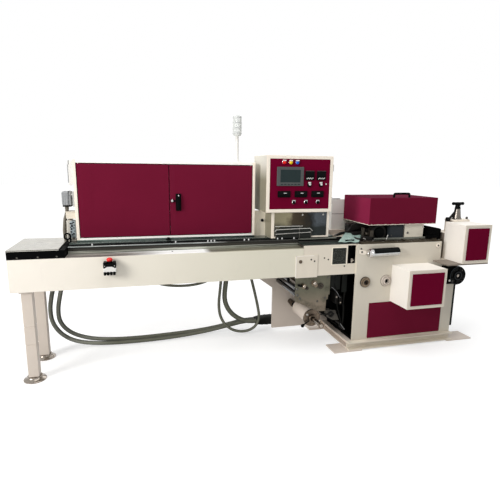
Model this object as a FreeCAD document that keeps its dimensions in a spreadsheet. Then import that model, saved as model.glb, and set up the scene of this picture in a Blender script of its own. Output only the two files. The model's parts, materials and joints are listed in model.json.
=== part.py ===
# Horizontal flow-wrap packaging machine, millimetres, +Z up, +X along the product's way
# Origin: centre of the front leg's foot, on the floor
import FreeCAD, Part
import Sketcher
import math
import os
import re

os.makedirs("parts", exist_ok=True)

# Driving dimensions. Places are measured from the beam's left end, its front face and the floor.
SIZES = {
    # infeed legs
    "leg_w": 65, "leg_x": 57.5, "leg_y": 17.5, "leg_pitch": 340, "foot_d": 140, "foot_h": 28,
    "foot_rim": 8, "foot_neck_d": 92,
    # infeed beam and its track
    "beam_len": 1950, "beam_depth": 460, "beam_z": 610, "beam_h": 210, "track_h": 60,
    "cover_len": 300, "cover_t": 6, "cover_gap": 10, "flat_w": 106, "flat_t": 4,
    "strip_t": 6, "low_strip_h": 8, "mid_strip_h": 16, "mid_strip_up": 11, "table_t": 12,
    "table_end": 117, "seam": 2,
    # stop button on the beam's face
    "stop_x": 561, "stop_w": 80, "stop_depth": 60, "stop_up": 80, "stop_h": 94, "stop_cap_d": 42,
    "stop_cap_h": 14, "stop_stem_d": 16, "stop_collar_d": 30, "stop_collar_h": 6, "stop_lift": 13,
    "stop_travel": 5,
    # overhead cabinet and its doors
    "cab_x": 380, "cab_w": 1260, "cab_y": 240, "cab_depth": 280, "cab_h": 553, "wall_t": 20,
    "cab_sill": 25, "door_t": 20, "door_gap": 5, "door_pin_d": 8, "door_pin_len": 20,
    "grip_x": 40, "grip_w": 38, "grip_h": 122, "grip_z": 205, "grip_t": 24,
    # signal tower
    "tower_in": 103, "tower_y": 400, "pole_d": 25, "pole_h": 194, "lamp_d": 70, "lamp_h": 150,
    # boxes on the cabinet's left side and the infeed drive
    "trunk_w": 30, "trunk_y": 262, "trunk_depth": 80, "trunk_z": 1264, "trunk_h": 165,
    "junction_w": 82, "junction_y": 258, "junction_depth": 90, "junction_z": 1120, "junction_h": 104,
    "block_w": 62, "block_z": 1038, "block_h": 49, "drive_w": 62, "drive_y": 262,
    "drive_depth": 90, "drive_h": 150, "side_gap": 6,
    # control box and the plinth under it
    "ctl_gap": 45, "ctl_w": 515, "ctl_y": 105, "ctl_depth": 330, "ctl_h": 410, "panel_edge": 25,
    "panel_t": 4, "plinth_w": 463, "plinth_y": 130, "plinth_h": 195,
    "window_t": 3, "window_side": 22, "window_low": 14, "window_high": 4,
    "screen_x": 50, "screen_z": 168, "screen_w": 206, "screen_h": 136, "screen_t": 8,
    "meter_w": 72, "meter_h": 68, "meter_x": 268, "meter_z": 209, "meter_pitch": 91,
    "counter_w": 98, "counter_h": 46, "counter_x": 59, "counter_z": 86, "counter_pitch": 131,
    "instrument_t": 9, "button_d": 30, "button_t": 14, "lamp_x": 104, "lamp_z": 338,
    "lamp_pitch": 50, "knob_x": 186, "knob_z": 50, "knob_pitch": 95, "dial_x": 303, "dial_z": 182,
    # forming station between the beam and the body
    "form_w": 427, "form_t": 10, "form_h": 230, "form_rib": 11, "form_open_w": 115, "form_open_z": 80,
    "form_open_h": 125, "form_gap_w": 70, "form_gap_h": 142, "hang_in": 65, "hang_w": 175,
    "hang_h": 168, "hang_t": 6, "hang_drop": 9,
    # body of the machine
    "body_w": 902, "body_top_w": 746, "body_y": 15, "body_z": 70, "body_top": 837,
    "body_step": 688, "plate_t": 20, "rear_in": 210, "rear_slope": 130, "rear_out": 67,
    "rear_low": 40, "rear_cut_low": 396, "rear_cut_high": 492,
    "drive_block_out": 160, "drive_block_gap": 25, "drive_block_z": 90, "end_t": 10, "end_h": 375,
    "red_x": 128, "red_w": 669, "red_z": 10, "red_h": 289, "red_t": 4,
    "flange_x": 79, "flange_pitch": 182, "flange_z": 543, "flange_d": 80, "flange_big_d": 86,
    "flange_t": 22, "cyl_x": 66, "cyl_len": 272, "cyl_d": 60, "cyl_drop": 65, "cyl_off": 34,
    "cyl_block": 22,
    # base frame and foot plates
    "base_left": 47, "base_right": 1, "base_y": 60, "base_depth": 600, "base_h": 60, "channel_w": 50,
    "channel_t": 6, "pad_t": 10, "pad_w": 240, "pad_depth": 156, "pad_out": 125, "pad_right": 189,
    "pad_front": 4, "pad_back": 37,
    # guards in front
    "guard_gap": 3, "low_guard_w": 324, "low_guard_depth": 227, "low_guard_z": 376,
    "low_guard_h": 295, "up_guard_gap": 59, "up_guard_w": 242, "up_guard_front": 187,
    "up_guard_depth": 224, "up_guard_h": 298, "guard_edge": 25, "shelf_in": 68, "shelf_t": 10,
    # outfeed column, hand wheel and motor
    "out_gap": 67, "out_w": 230, "out_depth": 163, "out_h": 298, "hand_in": 135, "hand_y": 85,
    "hand_base_w": 156, "hand_base_depth": 110, "hand_base_t": 15, "hand_base_set": 10,
    "hand_base_right": 16, "hand_col_h": 108, "hand_col_d": 52, "hand_col_top_d": 40,
    "hand_bore_d": 12, "hand_bore_len": 40,
    "hand_lift": 6, "hand_bar_len": 106, "hand_bar_d": 26,
    "motor_d": 152, "motor_in": 49, "motor_len": 95, "motor_z": 572, "motor_box_w": 90,
    "motor_box_depth": 80, "motor_box_h": 138,
    # hood and the housing behind it
    "hood_in": 127, "hood_w": 603, "hood_y": 59, "hood_rise": 132, "hood_h": 210,
    "hood_t": 4, "hinge_drop": 29, "hinge_back": 5, "knuckle_d": 9, "knuckle_len": 40,
    "knuckle_gap": 0.3, "knuckle_in": 60, "knuckle_pin_d": 4, "leaf_t": 3,
    "handle_len": 152, "handle_h": 34, "handle_t": 14, "handle_x": 218, "handle_in": 30,
    "back_in": 13, "back_w": 720, "back_depth": 110, "back_gap": 10, "back_drop": 10,
    "rest_gap": 0.3,
    # sealing station under the hood
    "jaw_in": 208, "jaw_w": 131, "jaw_gap": 9, "jaw_wide": 176, "jaw_y": 100, "jaw_depth": 260,
    "block_in": 536, "block_depth": 150, "seal_block_h": 100, "seal_block_gap": 20,
    "roll_in": 124, "roll_len": 66, "roll_d": 130, "roll_y": 112,
    # film bay
    "film_plate_in": 50, "film_plate_w": 282, "film_plate_h": 170, "film_tail_h": 288,
    "film_tail_x": 190, "film_tail_in": 30, "film_plate_t": 8, "film_plate_y": 20,
    "roller_x": 63, "roller_pitch": 92, "roller_z": 536, "roller_d": 28, "roller_out": 24,
    "arbor_in": 178, "arbor_z": 243, "arbor_d": 118, "arbor_y": 110, "arbor_len": 330,
    "disc_d": 138, "disc_t": 15, "spindle_d": 28, "spindle_out": 175,
    # sleeve where the hoses end
    "sleeve_len": 170, "sleeve_depth": 130, "sleeve_z": 50, "sleeve_h": 76,
    # clearances
    "pin_clear": 0.05, "run_gap": 0.3, "move_gap": 5,
}

doc = FreeCAD.newDocument("PackagingMachine")
sheet = doc.addObject("Spreadsheet::Sheet", "Sizes")
for number, (name, value) in enumerate(SIZES.items(), start=1):
    sheet.set("A%d" % number, name)
    sheet.set("B%d" % number, str(value))
    sheet.setAlias("B%d" % number, name)
doc.recompute()

# Places that follow the piece they belong to
PLACES = {
    "stop_z": "(beam_z + stop_up)",
    "tower_x": "(cab_x + cab_w - tower_in)",
    "ctl_x": "(cab_x + cab_w + ctl_gap)",
    "plinth_x": "(ctl_x + ctl_w - plinth_w)",
    "body_x": "(beam_len + form_w)",
    "body_upper": "(body_x + body_top_w)",
    "form_open_x": "(form_w - form_gap_w - seam - form_rib - form_open_w)",
    "table_len": "(body_x - table_end - cover_len - cover_gap)",
    "hang_x": "(beam_len - hang_in)",
    "hang_z": "(beam_z - hang_drop)",
    "rear_x": "(beam_len - rear_in)",
    "rear_low_x": "(rear_x + rear_slope)",
    "rear_foot_x": "(body_x - rear_out)",
    "rear_top": "(beam_z + beam_h + track_h)",
    "drive_block_x": "(body_x - drive_block_out)",
    "cyl_z": "(body_top - cyl_drop)",
    "low_guard_x": "(body_x + flange_x + flange_pitch + flange_big_d / 2 + guard_gap)",
    "up_guard_x": "(body_upper + up_guard_gap)",
    "shelf_x": "(body_upper - shelf_in)",
    "out_x": "(body_upper + out_gap)",
    "hand_x": "(out_x + hand_in)",
    "hood_x": "(body_x + hood_in)",
    "hood_z": "(body_top + hood_rise)",
    "back_x": "(body_x + back_in)",
    "jaw_x": "(hood_x + jaw_in)",
    "block_x": "(hood_x + block_in)",
    "seal_block_w": "(out_x - seal_block_gap - block_x)",
    "roll_x": "(hood_x + roll_in)",
    "film_plate_x": "(beam_len - film_plate_in)",
    "arbor_x": "(film_plate_x + arbor_in)",
    "sleeve_x": "(beam_len - rear_in)",
}

# Heights and lines that several pieces share
DATUM_X = "(leg_x + leg_w / 2)"
DATUM_Y = "(leg_y + leg_w / 2)"
BEAM_TOP = "(beam_z + beam_h)"
TABLE_TOP = "(beam_z + beam_h + track_h)"
TRACK_X = "(cover_len + cover_gap)"
CAB_TOP = "(beam_z + beam_h + track_h + cab_h)"
DOOR_W = "((cab_w - 2 * wall_t - 3 * door_gap) / 2)"
DOOR_Z = "(beam_z + beam_h + track_h + cab_sill + door_gap)"
DOOR_H = "(cab_h - cab_sill - wall_t - 2 * door_gap)"
DOOR_LEFT = "(cab_x + wall_t + door_gap)"
DOOR_RIGHT = "(cab_x + cab_w - wall_t - door_gap)"
CTL_Z = "(beam_z + beam_h + track_h + plinth_h)"
BODY_RIGHT = "(body_x + body_w)"
REAR_BACK = "(beam_depth + plate_t)"
OUT_Y = "(up_guard_depth - up_guard_front)"
OUT_TOP = "(body_step + out_h)"
HINGE_Z = "(hood_z + hood_h - hinge_drop)"
HOOD_DEPTH = "(beam_depth + plate_t - back_gap - hood_y)"
HINGE_Y = "(beam_depth + plate_t - back_gap + hinge_back)"
BASE_X = "(body_x - base_left)"
BASE_W = "(body_w + base_left + base_right)"

parts = {}


def bound(expression):
    """The expression with each place written out and each size read from the sheet"""
    def cell(match):
        name = match.group(0)
        if name in PLACES:
            return bound(PLACES[name])
        return "Sizes." + name if name in SIZES else name
    return re.sub(r"[a-z][a-z_]*", cell, expression)


def bind(item, **expressions):
    for prop, expression in expressions.items():
        item.setExpression(prop, bound(expression))


def place(item, x, y, z):
    """Puts an object's corner or centre at a place given from the beam's left end and the floor"""
    item.setExpression("Placement.Base.x", bound("(%s) - %s" % (x, DATUM_X)))
    item.setExpression("Placement.Base.y", bound("(%s) - %s" % (y, DATUM_Y)))
    item.setExpression("Placement.Base.z", bound(z))


def box(x, y, z, length, width, height):
    item = doc.addObject("Part::Box", "Box")
    bind(item, Length=length, Width=width, Height=height)
    place(item, x, y, z)
    return item


AXIS_TURN = {
    "X": FreeCAD.Rotation(FreeCAD.Vector(0, 1, 0), 90),
    "Y": FreeCAD.Rotation(FreeCAD.Vector(1, 0, 0), -90),
    "Z": FreeCAD.Rotation(),
}


def cylinder(x, y, z, diameter, length, axis="Z"):
    """A round bar that starts at the place and runs along the axis"""
    item = doc.addObject("Part::Cylinder", "Cylinder")
    item.Placement.Rotation = AXIS_TURN[axis]
    bind(item, Radius="(%s) / 2" % diameter, Height=length)
    place(item, x, y, z)
    return item


def cone(x, y, z, low, high, height):
    item = doc.addObject("Part::Cone", "Cone")
    bind(item, Radius1="(%s) / 2" % low, Radius2="(%s) / 2" % high, Height=height)
    place(item, x, y, z)
    return item


def fuse(*pieces):
    item = doc.addObject("Part::MultiFuse", "Joined")
    item.Shapes = list(pieces)
    return item


def cut(base, *tools):
    item = doc.addObject("Part::Cut", "Cut")
    item.Base = base
    item.Tool = tools[0] if len(tools) == 1 else fuse(*tools)
    return item


def group(*pieces):
    """Like pieces of one body that don't touch"""
    item = doc.addObject("Part::Compound", "Group")
    item.Links = list(pieces)
    return item


def keep(label, item):
    """Names a finished sub-part"""
    item.Label = label
    parts[label] = item
    return item


def plate(label, outline, thickness, x, y, z):
    """A flat plate in the XZ plane; the outline's corners are (across, up) from its own corner"""
    body = doc.addObject("PartDesign::Body", label)
    sketch = body.newObject("Sketcher::SketchObject", label + "_outline")
    plane = [item for item in body.Origin.OriginFeatures if item.Role == "XZ_Plane"][0]
    sketch.AttachmentSupport = [(plane, "")]
    sketch.MapMode = "FlatFace"
    count = len(outline)
    turn = [2 * math.pi * number / count for number in range(count)]
    rough = [FreeCAD.Vector(300 - 200 * math.cos(a), 300 - 200 * math.sin(a), 0) for a in turn]
    for number in range(count):
        sketch.addGeometry(Part.LineSegment(rough[number], rough[(number + 1) % count]))
    for number in range(count):
        sketch.addConstraint(Sketcher.Constraint("Coincident", number, 2, (number + 1) % count, 1))
    for number, (across, up) in enumerate(outline):
        for kind, axis, value in (("DistanceX", -2, across), ("DistanceY", -1, up)):
            if value == "0":
                sketch.addConstraint(Sketcher.Constraint("PointOnObject", number, 1, axis))
            else:
                place_at = sketch.addConstraint(Sketcher.Constraint(kind, -1, 1, number, 1, 100.0))
                sketch.setExpression("Constraints[%d]" % place_at, bound(value))
    pad = body.newObject("PartDesign::Pad", label + "_pad")
    pad.Profile = sketch
    pad.Reversed = True
    bind(pad, Length=thickness)
    place(body, x, y, z)
    return keep(label, body)


def infeed():
    """Legs, beam, track and stop button of the infeed conveyor"""
    keep("infeed_beam", box("0", "0", "beam_z", "beam_len", "beam_depth", "beam_h"))
    posts = []
    feet = []
    for number in range(2):
        back = "%d * leg_pitch" % number
        posts.append(box("leg_x", "leg_y + " + back, "foot_h", "leg_w", "leg_w", "beam_z - foot_h"))
        middle = (DATUM_X, DATUM_Y + " + " + back)
        rim = cylinder(*middle, "0", "foot_d", "foot_rim")
        dome = cone(*middle, "foot_rim", "foot_d", "foot_neck_d", "foot_h - foot_rim")
        feet.append(fuse(rim, dome))
    keep("leg_posts", group(*posts))
    keep("leg_feet", group(*feet))

    keep("end_cover", box("0", "0", TABLE_TOP + " - cover_t", "cover_len", "beam_depth", "cover_t"))
    end_core = box("0", "seam", BEAM_TOP, "cover_len - seam", "beam_depth - 2 * seam",
                   "track_h - cover_t")
    long_core = box(TRACK_X, "flat_w + 2 * seam + strip_t", BEAM_TOP, "beam_len - " + TRACK_X,
                    "beam_depth - flat_w - 2 * seam - strip_t", "track_h - table_t")
    keep("track_cores", group(end_core, long_core))
    rail_len = "beam_len - " + TRACK_X
    side_flat = box(TRACK_X, "seam", BEAM_TOP, rail_len, "flat_w", "flat_t")
    strip_y = "flat_w + 2 * seam"
    low_strip = box(TRACK_X, strip_y, BEAM_TOP, rail_len, "strip_t", "low_strip_h")
    mid_strip = box(TRACK_X, strip_y, BEAM_TOP + " + mid_strip_up", rail_len, "strip_t",
                    "mid_strip_h")
    keep("track_strips", group(side_flat, low_strip, mid_strip))
    keep("table_plate", box(TRACK_X, strip_y, TABLE_TOP + " - table_t", "table_len",
                            "beam_depth - flat_w - 2 * seam", "table_t"))

    case = box("stop_x", "-stop_depth", "stop_z", "stop_w", "stop_depth", "stop_h")
    middle = ("stop_x + stop_w / 2", "-stop_depth / 2")
    collar = cylinder(*middle, "stop_z + stop_h", "stop_collar_d", "stop_collar_h")
    bore = cylinder(*middle, "stop_z + stop_h - 3 * stop_travel",
                    "stop_stem_d + 2 * pin_clear", "stop_collar_h + 3 * stop_travel")
    keep("stop_box", cut(fuse(case, collar), bore))
    stem_low = "stop_z + stop_h - stop_travel"
    stem = cylinder(*middle, stem_low, "stop_stem_d", "stop_travel + stop_lift")
    cap = cylinder(*middle, "stop_z + stop_h + stop_lift", "stop_cap_d", "stop_cap_h")
    keep("stop_button", fuse(stem, cap))


def cabinet():
    """Overhead cabinet, its two doors and what stands on it and beside it"""
    back_y = "cab_y + cab_depth - wall_t"
    inner_w = "cab_w - 2 * wall_t"
    keep("cabinet_back", box("cab_x + wall_t", back_y, TABLE_TOP + " + cab_sill", inner_w,
                             "wall_t", "cab_h - cab_sill - wall_t"))
    sill = box("cab_x + wall_t", "cab_y", TABLE_TOP, inner_w, "cab_depth", "cab_sill")
    roof = box("cab_x + wall_t", "cab_y", CAB_TOP + " - wall_t", inner_w, "cab_depth", "wall_t")
    keep("cabinet_caps", group(sill, roof))
    left = box("cab_x", "cab_y", TABLE_TOP, "wall_t", "cab_depth", "cab_h")
    right = box("cab_x + cab_w - wall_t", "cab_y", TABLE_TOP, "wall_t", "cab_depth", "cab_h")
    keep("cabinet_sides", group(left, right))

    pin_y = "cab_y + door_t / 2"
    pins = []
    for side, edge, inward in (("left", DOOR_LEFT, 1), ("right", DOOR_RIGHT, -1)):
        axis_x = "%s + %d * door_t / 2" % (edge, inward)
        slab_x = axis_x if inward > 0 else axis_x + " - " + DOOR_W + " + door_t / 2"
        slab = box(slab_x, "cab_y", DOOR_Z, DOOR_W + " - door_t / 2", "door_t", DOOR_H)
        edge_round = cylinder(axis_x, pin_y, DOOR_Z, "door_t", DOOR_H)
        holes = []
        sill_top = TABLE_TOP + " + cab_sill"
        roof_low = CAB_TOP + " - wall_t - door_pin_len"
        for low, hole_low in ((sill_top, sill_top), (roof_low, roof_low + " - 1")):
            pins.append(cylinder(axis_x, pin_y, low, "door_pin_d", "door_pin_len"))
            holes.append(cylinder(axis_x, pin_y, hole_low, "door_pin_d + 2 * pin_clear",
                                  "door_pin_len + 1"))
        keep("door_" + side, cut(fuse(slab, edge_round), *holes))
    keep("door_pins", group(*pins))

    seam_x = "%s + %s + door_gap" % (DOOR_LEFT, DOOR_W)
    keep("door_handle", box(seam_x + " + grip_x", "cab_y - grip_t",
                            TABLE_TOP + " + grip_z", "grip_w", "grip_t", "grip_h"))

    keep("tower_pole", cylinder("tower_x", "tower_y", CAB_TOP, "pole_d", "pole_h"))
    keep("tower_lamp", cylinder("tower_x", "tower_y", CAB_TOP + " + pole_h", "lamp_d", "lamp_h"))

    trunk = box("cab_x - trunk_w", "trunk_y", "trunk_z", "trunk_w", "trunk_depth", "trunk_h")
    junction = box("cab_x - junction_w", "junction_y", "junction_z", "junction_w",
                   "junction_depth", "junction_h")
    block = box("cab_x - block_w", "junction_y", "block_z", "block_w", "junction_depth", "block_h")
    keep("side_boxes", group(trunk, junction, block))
    keep("drive_motor", box("cab_x - side_gap - drive_w", "drive_y", TABLE_TOP, "drive_w",
                            "drive_depth", "drive_h"))


def control_station():
    """Control box with its panel and instruments, on its plinth"""
    keep("control_plinth", box("plinth_x", "plinth_y", TABLE_TOP, "plinth_w",
                               "ctl_y + ctl_depth - plinth_y", "plinth_h"))
    keep("control_box", box("ctl_x", "ctl_y", CTL_Z, "ctl_w", "ctl_depth", "ctl_h"))
    panel_x = "ctl_x + panel_edge"
    panel_z = CTL_Z + " + panel_edge"
    keep("control_panel", box(panel_x, "ctl_y - panel_t", panel_z, "ctl_w - 2 * panel_edge",
                              "panel_t", "ctl_h - 2 * panel_edge"))
    face = "ctl_y - panel_t"
    flat = [box(panel_x + " + screen_x", face + " - screen_t", panel_z + " + screen_z",
                "screen_w", "screen_t", "screen_h")]
    for number in range(2):
        flat.append(box("%s + meter_x + %d * meter_pitch" % (panel_x, number),
                        face + " - instrument_t", panel_z + " + meter_z",
                        "meter_w", "instrument_t", "meter_h"))
    for number in range(3):
        flat.append(box("%s + counter_x + %d * counter_pitch" % (panel_x, number),
                        face + " - instrument_t", panel_z + " + counter_z",
                        "counter_w", "instrument_t", "counter_h"))
    keep("panel_instruments", group(*flat))
    rounds = []
    for prefix, count, pitch in (("lamp", 3, "lamp_pitch"), ("knob", 3, "knob_pitch"),
                                 ("dial", 2, "meter_pitch")):
        for number in range(count):
            rounds.append(cylinder("%s + %s_x + %d * %s" % (panel_x, prefix, number, pitch),
                                   face + " - button_t", "%s + %s_z" % (panel_z, prefix),
                                   "button_d", "button_t", "Y"))
    keep("panel_buttons", group(*rounds))


def forming_station():
    """Front plates between the beam and the body, with their windows"""
    outline = [("0", "0"), ("body_x - beam_len", "0"), ("body_x - beam_len", "form_h"),
               ("0", "form_h")]
    blank = plate("form_blank", outline, "form_t", "beam_len", "0", "beam_z")
    del parts["form_blank"]
    window_z = "beam_z + form_open_z"
    window = box("beam_len + form_open_x", "-1", window_z, "form_open_w", "form_t + 2",
                 "form_open_h")
    gap = box("body_x - form_gap_w - seam", "-1", window_z, "form_gap_w", "form_t + 2",
              "form_gap_h")
    keep("forming_panel", cut(blank, window, gap))
    glass = box("beam_len + form_open_x", "form_t - window_t", window_z, "form_open_w",
                "window_t", "form_open_h")
    mirror = box("plinth_x + window_side", "plinth_y - window_t", TABLE_TOP + " + window_low",
                 "plinth_w - 2 * window_side", "window_t",
                 "plinth_h - window_low - window_high")
    keep("windows", group(glass, mirror))
    keep("hanging_plate", box("hang_x", "-hang_t", "hang_z", "hang_w", "hang_t", "hang_h"))


def body_of_machine():
    """Front and rear plates, deck, closed drive block and the base they stand on"""
    plate("body_plate", [("0", "0"), ("body_w", "0"), ("body_w", "body_step - body_z"),
                         ("body_top_w", "body_step - body_z"), ("body_top_w", "body_top - body_z"),
                         ("0", "body_top - body_z")],
          "plate_t", "body_x", "-body_y", "body_z")
    plate("rear_plate", [("rear_low_x - rear_x", "0"), ("rear_foot_x - rear_x", "0"),
                         ("rear_foot_x - rear_x", "body_z - rear_low"),
                         ("body_x + body_w - rear_x", "body_z - rear_low"),
                         ("body_x + body_w - rear_x", "rear_top - rear_low"),
                         ("0", "rear_top - rear_low"), ("0", "rear_cut_high - rear_low"),
                         ("rear_low_x - rear_x", "rear_cut_low - rear_low")],
          "plate_t", "rear_x", "beam_depth", "rear_low")
    deck_y = "plate_t - body_y"
    deck_depth = "beam_depth - plate_t + body_y"
    top = box("body_x + plate_t", deck_y, "body_top - plate_t", "body_top_w - plate_t",
              deck_depth, "plate_t")
    riser = box("body_x + body_top_w - plate_t", deck_y, "body_step - plate_t", "plate_t",
                deck_depth, "body_top - body_step + plate_t")
    step = box("body_x + body_top_w - plate_t", deck_y, "body_step - plate_t",
               "body_w - body_top_w + plate_t", deck_depth, "plate_t")
    side = box(BODY_RIGHT + " - plate_t", deck_y, "body_z", "plate_t", deck_depth,
               "body_step - plate_t - body_z")
    keep("body_deck", fuse(top, riser, step, side))
    keep("drive_block", box("drive_block_x", deck_y + " + drive_block_gap", "drive_block_z",
                            "body_x + body_top_w - 2 * plate_t - drive_block_x",
                            deck_depth + " - 2 * drive_block_gap",
                            "body_top - plate_t - drive_block_z"))
    keep("end_panel", box(BODY_RIGHT, deck_y, "body_z", "end_t", deck_depth, "end_h"))
    keep("shaft_flanges", group(
        cylinder("body_x + flange_x", "-body_y - flange_t", "flange_z", "flange_d", "flange_t",
                 "Y"),
        cylinder("body_x + flange_x + flange_pitch", "-body_y - flange_t", "flange_z",
                 "flange_big_d", "flange_t", "Y")))
    bar = cylinder("body_x + cyl_x", "-body_y - cyl_off", "cyl_z", "cyl_d", "cyl_len", "X")
    feet = [box("body_x + cyl_x + " + along, "-body_y - cyl_off", "cyl_z - cyl_block / 2",
                "cyl_block", "cyl_off", "cyl_block")
            for along in ("cyl_block", "cyl_len - 2 * cyl_block")]
    keep("feed_cylinder", fuse(bar, *feet))


def channel(x, y, length, width, open_side):
    """A base channel on the foot plates, open towards the given side"""
    block = box(x, y, "pad_t", length, width, "base_h")
    inner_z = "pad_t + channel_t"
    inner_h = "base_h - 2 * channel_t"
    reach = "channel_w - channel_t"
    if open_side == "front":
        hollow = box(x + " - 1", y + " - 1", inner_z, length + " + 2", reach + " + 1", inner_h)
    elif open_side == "back":
        hollow = box(x + " - 1", y + " + channel_t", inner_z, length + " + 2", reach + " + 1",
                     inner_h)
    elif open_side == "left":
        hollow = box(x + " - 1", y + " - 1", inner_z, reach + " + 1", width + " + 2", inner_h)
    else:
        hollow = box(x + " + channel_t", y + " - 1", inner_z, reach + " + 1", width + " + 2",
                     inner_h)
    return cut(block, hollow)


def base():
    """Channel frame and its four foot plates"""
    back_y = "base_depth - base_y - channel_w"
    keep("base_rails", group(channel(BASE_X, "-base_y", BASE_W, "channel_w", "front"),
                             channel(BASE_X, back_y, BASE_W, "channel_w", "back")))
    inner = "base_depth - 2 * channel_w"
    right_x = BASE_X + " + " + BASE_W + " - channel_w"
    keep("base_ends", group(channel(BASE_X, "channel_w - base_y", "channel_w", inner, "left"),
                            channel(right_x, "channel_w - base_y", "channel_w", inner, "right")))
    pads = []
    for x in (BASE_X + " - pad_out", BASE_X + " + " + BASE_W + " + pad_right - pad_w"):
        for y in ("-base_y - pad_front", "base_depth - base_y + pad_back - pad_depth"):
            pads.append(box(x, y, "0", "pad_w", "pad_depth", "pad_t"))
    keep("foot_plates", group(*pads))


def guards():
    """Closed guard boxes in front, the column behind the upper one, and the red panels"""
    low = box("low_guard_x", "-body_y - low_guard_depth", "low_guard_z", "low_guard_w",
              "low_guard_depth", "low_guard_h")
    high = box("up_guard_x", "-up_guard_front", "body_step", "up_guard_w", "up_guard_depth",
               "up_guard_h")
    keep("guard_boxes", group(low, high))
    keep("guard_shelf", box("shelf_x", "-up_guard_front", "body_step - shelf_t",
                            "up_guard_x + up_guard_w - shelf_x", "up_guard_front - body_y",
                            "shelf_t"))
    red_low = box("low_guard_x + guard_edge", "-body_y - low_guard_depth - red_t",
                  "low_guard_z + guard_edge", "low_guard_w - 2 * guard_edge", "red_t",
                  "low_guard_h - 2 * guard_edge")
    red_high = box("up_guard_x + guard_edge", "-up_guard_front - red_t",
                   "body_step + guard_edge", "up_guard_w - 2 * guard_edge", "red_t",
                   "up_guard_h - 2 * guard_edge")
    red_body = box("body_x + red_x", "-body_y - red_t", "body_z + red_z", "red_w", "red_t",
                   "red_h")
    keep("red_panels", group(red_low, red_high, red_body))
    foot = box("hand_x - hand_base_w / 2 + hand_base_right",
               "hand_y - hand_base_depth / 2 + hand_base_set", OUT_TOP, "hand_base_w",
               "hand_base_depth", "hand_base_t")
    shank = cone("hand_x", "hand_y", OUT_TOP + " + hand_base_t", "hand_col_d", "hand_col_top_d",
                 "hand_col_h")
    column_top = OUT_TOP + " + hand_base_t + hand_col_h"
    bore = cylinder("hand_x", "hand_y", column_top + " - hand_bore_len",
                    "hand_bore_d + 2 * pin_clear", "hand_bore_len + 1")
    keep("hand_column", cut(fuse(foot, shank), bore))
    stem = cylinder("hand_x", "hand_y", column_top + " - hand_bore_len + move_gap", "hand_bore_d",
                    "hand_bore_len - move_gap + hand_lift + hand_bar_d / 2")
    bar = cylinder("hand_x - hand_bar_len / 2", "hand_y", column_top + " + hand_lift + hand_bar_d / 2",
                   "hand_bar_d", "hand_bar_len", "X")
    keep("hand_knob", fuse(stem, bar))
    motor_x = BODY_RIGHT + " - motor_in"
    barrel = cylinder(motor_x, "-body_y - motor_len", "motor_z", "motor_d", "motor_len", "Y")
    seat = box(motor_x + " - motor_box_w", "-body_y - motor_box_depth",
               "motor_z - motor_box_h / 2", "motor_box_w", "motor_box_depth", "motor_box_h")
    keep("outfeed_motor", fuse(barrel, seat))


def hood():
    """Hinged hood over the sealing station, the housing that carries it and what is under it"""
    shell = box("hood_x", "hood_y", "hood_z", "hood_w", HOOD_DEPTH, "hood_h")
    inside = box("hood_x + hood_t", "hood_y + hood_t", "hood_z - 1", "hood_w - 2 * hood_t",
                 HOOD_DEPTH + " - 2 * hood_t", "hood_h - hood_t + 1")
    hood_knuckles = []
    hood_leaves = []
    fixed = []
    pin_holes = []
    back_wall = REAR_BACK + " - back_gap"
    for middle in ("hood_x + knuckle_in", "hood_x + hood_w - knuckle_in"):
        hood_knuckles.append(cylinder(middle + " - knuckle_len", HINGE_Y, HINGE_Z, "knuckle_d",
                                      "knuckle_len", "X"))
        hood_leaves.append(box(middle + " - knuckle_len", back_wall + " - hood_t / 2",
                               HINGE_Z + " - leaf_t / 2", "knuckle_len",
                               "hinge_back + hood_t / 2", "leaf_t"))
        pin_holes.append(cylinder(middle + " - knuckle_len / 2", HINGE_Y, HINGE_Z,
                                  "knuckle_pin_d + 2 * pin_clear", "knuckle_len", "X"))
        held = middle + " + knuckle_gap"
        knuckle = cylinder(held, HINGE_Y, HINGE_Z, "knuckle_d", "knuckle_len", "X")
        leaf = box(held, HINGE_Y + " - leaf_t / 2", HINGE_Z + " - back_drop", "knuckle_len",
                   "back_gap - hinge_back + leaf_t", "back_drop")
        pin = cylinder(middle + " - knuckle_len / 2 + 1", HINGE_Y, HINGE_Z, "knuckle_pin_d",
                       "knuckle_len / 2 + knuckle_gap", "X")
        fixed.append(fuse(knuckle, leaf, pin))
    keep("hood", cut(fuse(cut(shell, inside), *hood_knuckles, *hood_leaves), *pin_holes))
    keep("hood_hinges", group(*fixed))
    top = "hood_z + hood_h"
    handle_y = "hood_y + handle_in"
    handle_x = "hood_x + handle_x"
    posts = [box(handle_x + shift, handle_y, top, "handle_t", "handle_t", "handle_h - handle_t")
             for shift in ("", " + handle_len - handle_t")]
    grip = box(handle_x, handle_y, top + " + handle_h - handle_t", "handle_len", "handle_t",
               "handle_t")
    keep("hood_handle", fuse(grip, *posts))

    behind = box("back_x", REAR_BACK, "body_top", "back_w", "back_depth",
                 HINGE_Z + " - back_drop - body_top")
    column = box("out_x", OUT_Y, "body_step", "out_w", "out_depth", "out_h")
    keep("housings", group(behind, column))
    rest_h = "hood_z - body_top - rest_gap"
    first = box("jaw_x", "jaw_y", "body_top", "jaw_w", "jaw_depth", rest_h)
    second = box("jaw_x + jaw_w + jaw_gap", "jaw_y", "body_top", "jaw_wide", "jaw_depth", rest_h)
    third = box("block_x", "hood_y + move_gap", "body_top", "seal_block_w", "block_depth",
                "seal_block_h")
    keep("seal_supports", group(first, second, third))
    keep("seal_roller", cylinder("roll_x", "roll_y", "body_top + roll_d / 2", "roll_d",
                                 "roll_len", "Y"))


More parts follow.
